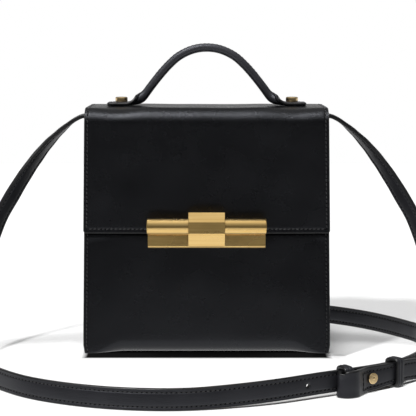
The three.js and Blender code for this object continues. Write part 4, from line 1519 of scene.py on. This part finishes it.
def make_stage():
    pale, tree, shader = new_material("pale_paper")
    speck = tree.noise(60.0, 3.0).outputs["Fac"]
    tone = tree.mix(speck, (PAPER * 0.985,) * 3, (PAPER,) * 3)
    tree.fill(shader, {"Base Color": tone, "Roughness": 0.85, "Specular IOR Level": 0.1})
    left, right, near = -FLOOR_REACH, FLOOR_REACH, -FLOOR_REACH
    corners = [(left, near, 0), (right, near, 0), (right, FLOOR_BACK, 0), (left, FLOOR_BACK, 0)]
    add_plane("floor", corners, pale, ["glossy"])


def make_shade_card():
    """A painted contact shadow on pale paper: a dark film close over the floor in front of the base, which
    only the camera sees, and which clears towards its edges."""
    material, tree, _ = new_material("shade_card")
    tree.nodes.clear()
    where = tree.add("TexCoord").outputs["Object"]
    parts = tree.add("SeparateXYZ", {"Vector": where}).outputs
    front, half = BAG_D / 2, BASE_W / 2
    far = -(front + CARD_OUT)
    fade_y = tree.remap(parts["Y"], 1.0, 0.0, far * MM, -(front + CARD_FULL) * MM)
    edges = [(half + inset) * MM for inset in CARD_SIDE]
    fade_x = tree.remap(tree.calc("ABSOLUTE", parts["X"]), 0.0, 1.0, *edges)
    solid = tree.add("BsdfDiffuse", {"Color": CARD_TONE})
    through = tree.add("BsdfTransparent")
    clear = tree.calc("MAXIMUM", fade_y, fade_x)
    mix = tree.add("MixShader", {0: clear, 1: solid.outputs[0], 2: through.outputs[0]})
    tree.add("OutputMaterial", {"Surface": mix.outputs[0]})
    wide, near = half + 1, BASE_R - front
    corners = [(-wide, far, CARD_Z), (wide, far, CARD_Z), (wide, near, CARD_Z), (-wide, near, CARD_Z)]
    add_plane("shade_card", corners, material, ["diffuse", "glossy", "transmission", "shadow"])


def make_flag():
    """A studio flag by the bag's right front corner, which widens the shade on the floor behind it. It leans
    towards the key lamp, so only the side lamp sees its face."""
    left, right = FLAG_X
    key_x, key_y, key_z = KEY[0]
    corners = []
    for x, z in ((left, 0), (right, 0), (right, BAG_H), (left, BAG_H)):
        corners.append((x + key_x / key_z * z, FLAG_Y + key_y / key_z * z, z))
    add_plane("flag", corners, None, ["camera", "diffuse", "glossy", "transmission"])


def make_camera():
    data = bpy.data.cameras.new("camera")
    data.sensor_width = SENSOR
    data.lens = SENSOR * FOCAL_PX / PHOTO_W
    camera = bpy.data.objects.new("camera", data)
    camera.location = [c * MM for c in CAMERA_AT]
    camera.rotation_euler = (math.radians(90 - CAMERA_DOWN), 0, 0)
    bpy.context.scene.collection.objects.link(camera)
    bpy.context.scene.camera = camera


def add_sun(name, comes_from, power, softness, glints_on=None):
    """A studio lamp far off; comes_from is a direction. It lights without glints, which come from the sky in
    make_light, unless glints_on names the pieces that it only puts a glint on."""
    light = bpy.data.lights.new(name, "SUN")
    light.energy = power
    light.angle = math.radians(softness)
    holder = bpy.data.objects.new(name, light)
    holder.rotation_euler = Vector(comes_from).to_track_quat("Z", "Y").to_euler()
    holder.visible_glossy = bool(glints_on)
    bpy.context.scene.collection.objects.link(holder)
    if glints_on:
        holder.visible_diffuse = False
        lit = bpy.data.collections.new(f"{name}_lit")
        for piece in glints_on:
            lit.objects.link(made[piece])
        holder.light_linking.receiver_collection = lit


def make_sky():
    """White to the camera, the tones of GLOSS_SKY to what mirrors it, and dim to all else."""
    world = bpy.data.worlds.new("studio")
    bpy.context.scene.world = world
    tree = Tree(world)
    tree.nodes.clear()
    where = tree.add("TexCoord").outputs["Generated"]
    parts = tree.add("SeparateXYZ", {"Vector": where}).outputs
    # Height of a direction: 0 level in front of the bag, 90 straight up and 180 level behind it.
    level = tree.add("VectorMath", {0: where, 1: (1, 1, 0)}, operation="MULTIPLY").outputs["Vector"]
    reach = tree.add("VectorMath", {0: level}, operation="LENGTH").outputs["Value"]
    back = tree.calc("MULTIPLY", tree.calc("SIGN", parts["Y"]), reach)
    height = tree.calc("ARCTAN2", parts["Z"], tree.calc("MULTIPLY", back, -1.0))
    ramp = tree.add("ValToRGB", {"Fac": tree.remap(height, 0.0, 1.0, -math.pi, math.pi)})
    marks = ramp.color_ramp.elements
    while len(marks) < len(GLOSS_SKY):
        marks.new(0.5)
    for mark, (angle, tone) in zip(marks, GLOSS_SKY):
        mark.position = (angle + 180) / 360
        mark.color = (tone / SKY_PEAK, tone / SKY_PEAK, tone / SKY_PEAK, 1)

    def background(color, strength):
        return tree.add("Background", {"Color": color, "Strength": strength}).outputs[0]

    rays = tree.add("LightPath").outputs
    dim = background((0.8, 0.8, 0.8, 1), AMBIENT)
    mirrored = background(ramp.outputs["Color"], SKY_PEAK)
    unseen = tree.add("MixShader", {0: rays["Is Glossy Ray"], 1: dim, 2: mirrored}).outputs[0]
    white = background((1, 1, 1, 1), 1.0)
    both = tree.add("MixShader", {0: rays["Is Camera Ray"], 1: unseen, 2: white}).outputs[0]
    tree.add("OutputWorld", {"Surface": both})


def make_light():
    make_sky()
    add_sun("key", *KEY)
    add_sun("side", *SIDE)
    soft_goods = [name for name in made if name.endswith(("leather", "stitches"))]
    for number, crest in enumerate(CRESTS):
        add_sun(f"crest_{number}", *crest, soft_goods)
    bpy.context.scene.view_settings.view_transform = "Standard"


def make_heads():
    """The studs on the handle's tabs, and the rivets inside the gussets."""
    face = gusset_face(RIVET_Z) - GUSSET_T - STRAP_T - GAP * 3
    for name, sign in (("left", -1), ("right", 1)):
        at = (sign * STUD_X, 0, BAG_H + 2 * GAP + TAB_T)
        make_head(f"handle_stud_{name}_brass", f"handle_stud_{name}", STUD_D, STUD_H, at, (0, 0, 1))
        at = (sign * face, 0, RIVET_Z)
        make_head(f"strap_rivet_{name}_brass", f"strap_rivet_{name}", RIVET_D, RIVET_H, at, (-sign, 0, 0))


def main():
    make_camera()
    make_body()
    make_gusset("gusset_left", -1)
    make_gusset("gusset_right", 1)
    make_flap()
    make_handle()
    make_heads()
    make_bar()
    make_plate()
    make_lever()
    make_straps()
    inner = -STRAP_T / 2 - GAP
    make_keeper("keeper_captive", -LOOP_AT, inner, STRAP_T * 1.6 + GAP, LOOP_W)
    make_keeper("keeper_free", KEEPER_AT, inner, STRAP_T * 1.62 + GAP, KEEPER_W)
    at, out, _ = beside(0, STRAP_T * 1.65 + GAP, 0.9)
    make_head("strap_stud_brass", "strap_stud", STRAP_STUD_D, STRAP_STUD_H, at, out, ringed=True)
    make_stitches()
    make_stage()
    make_shade_card()
    make_flag()
    make_light()


main()
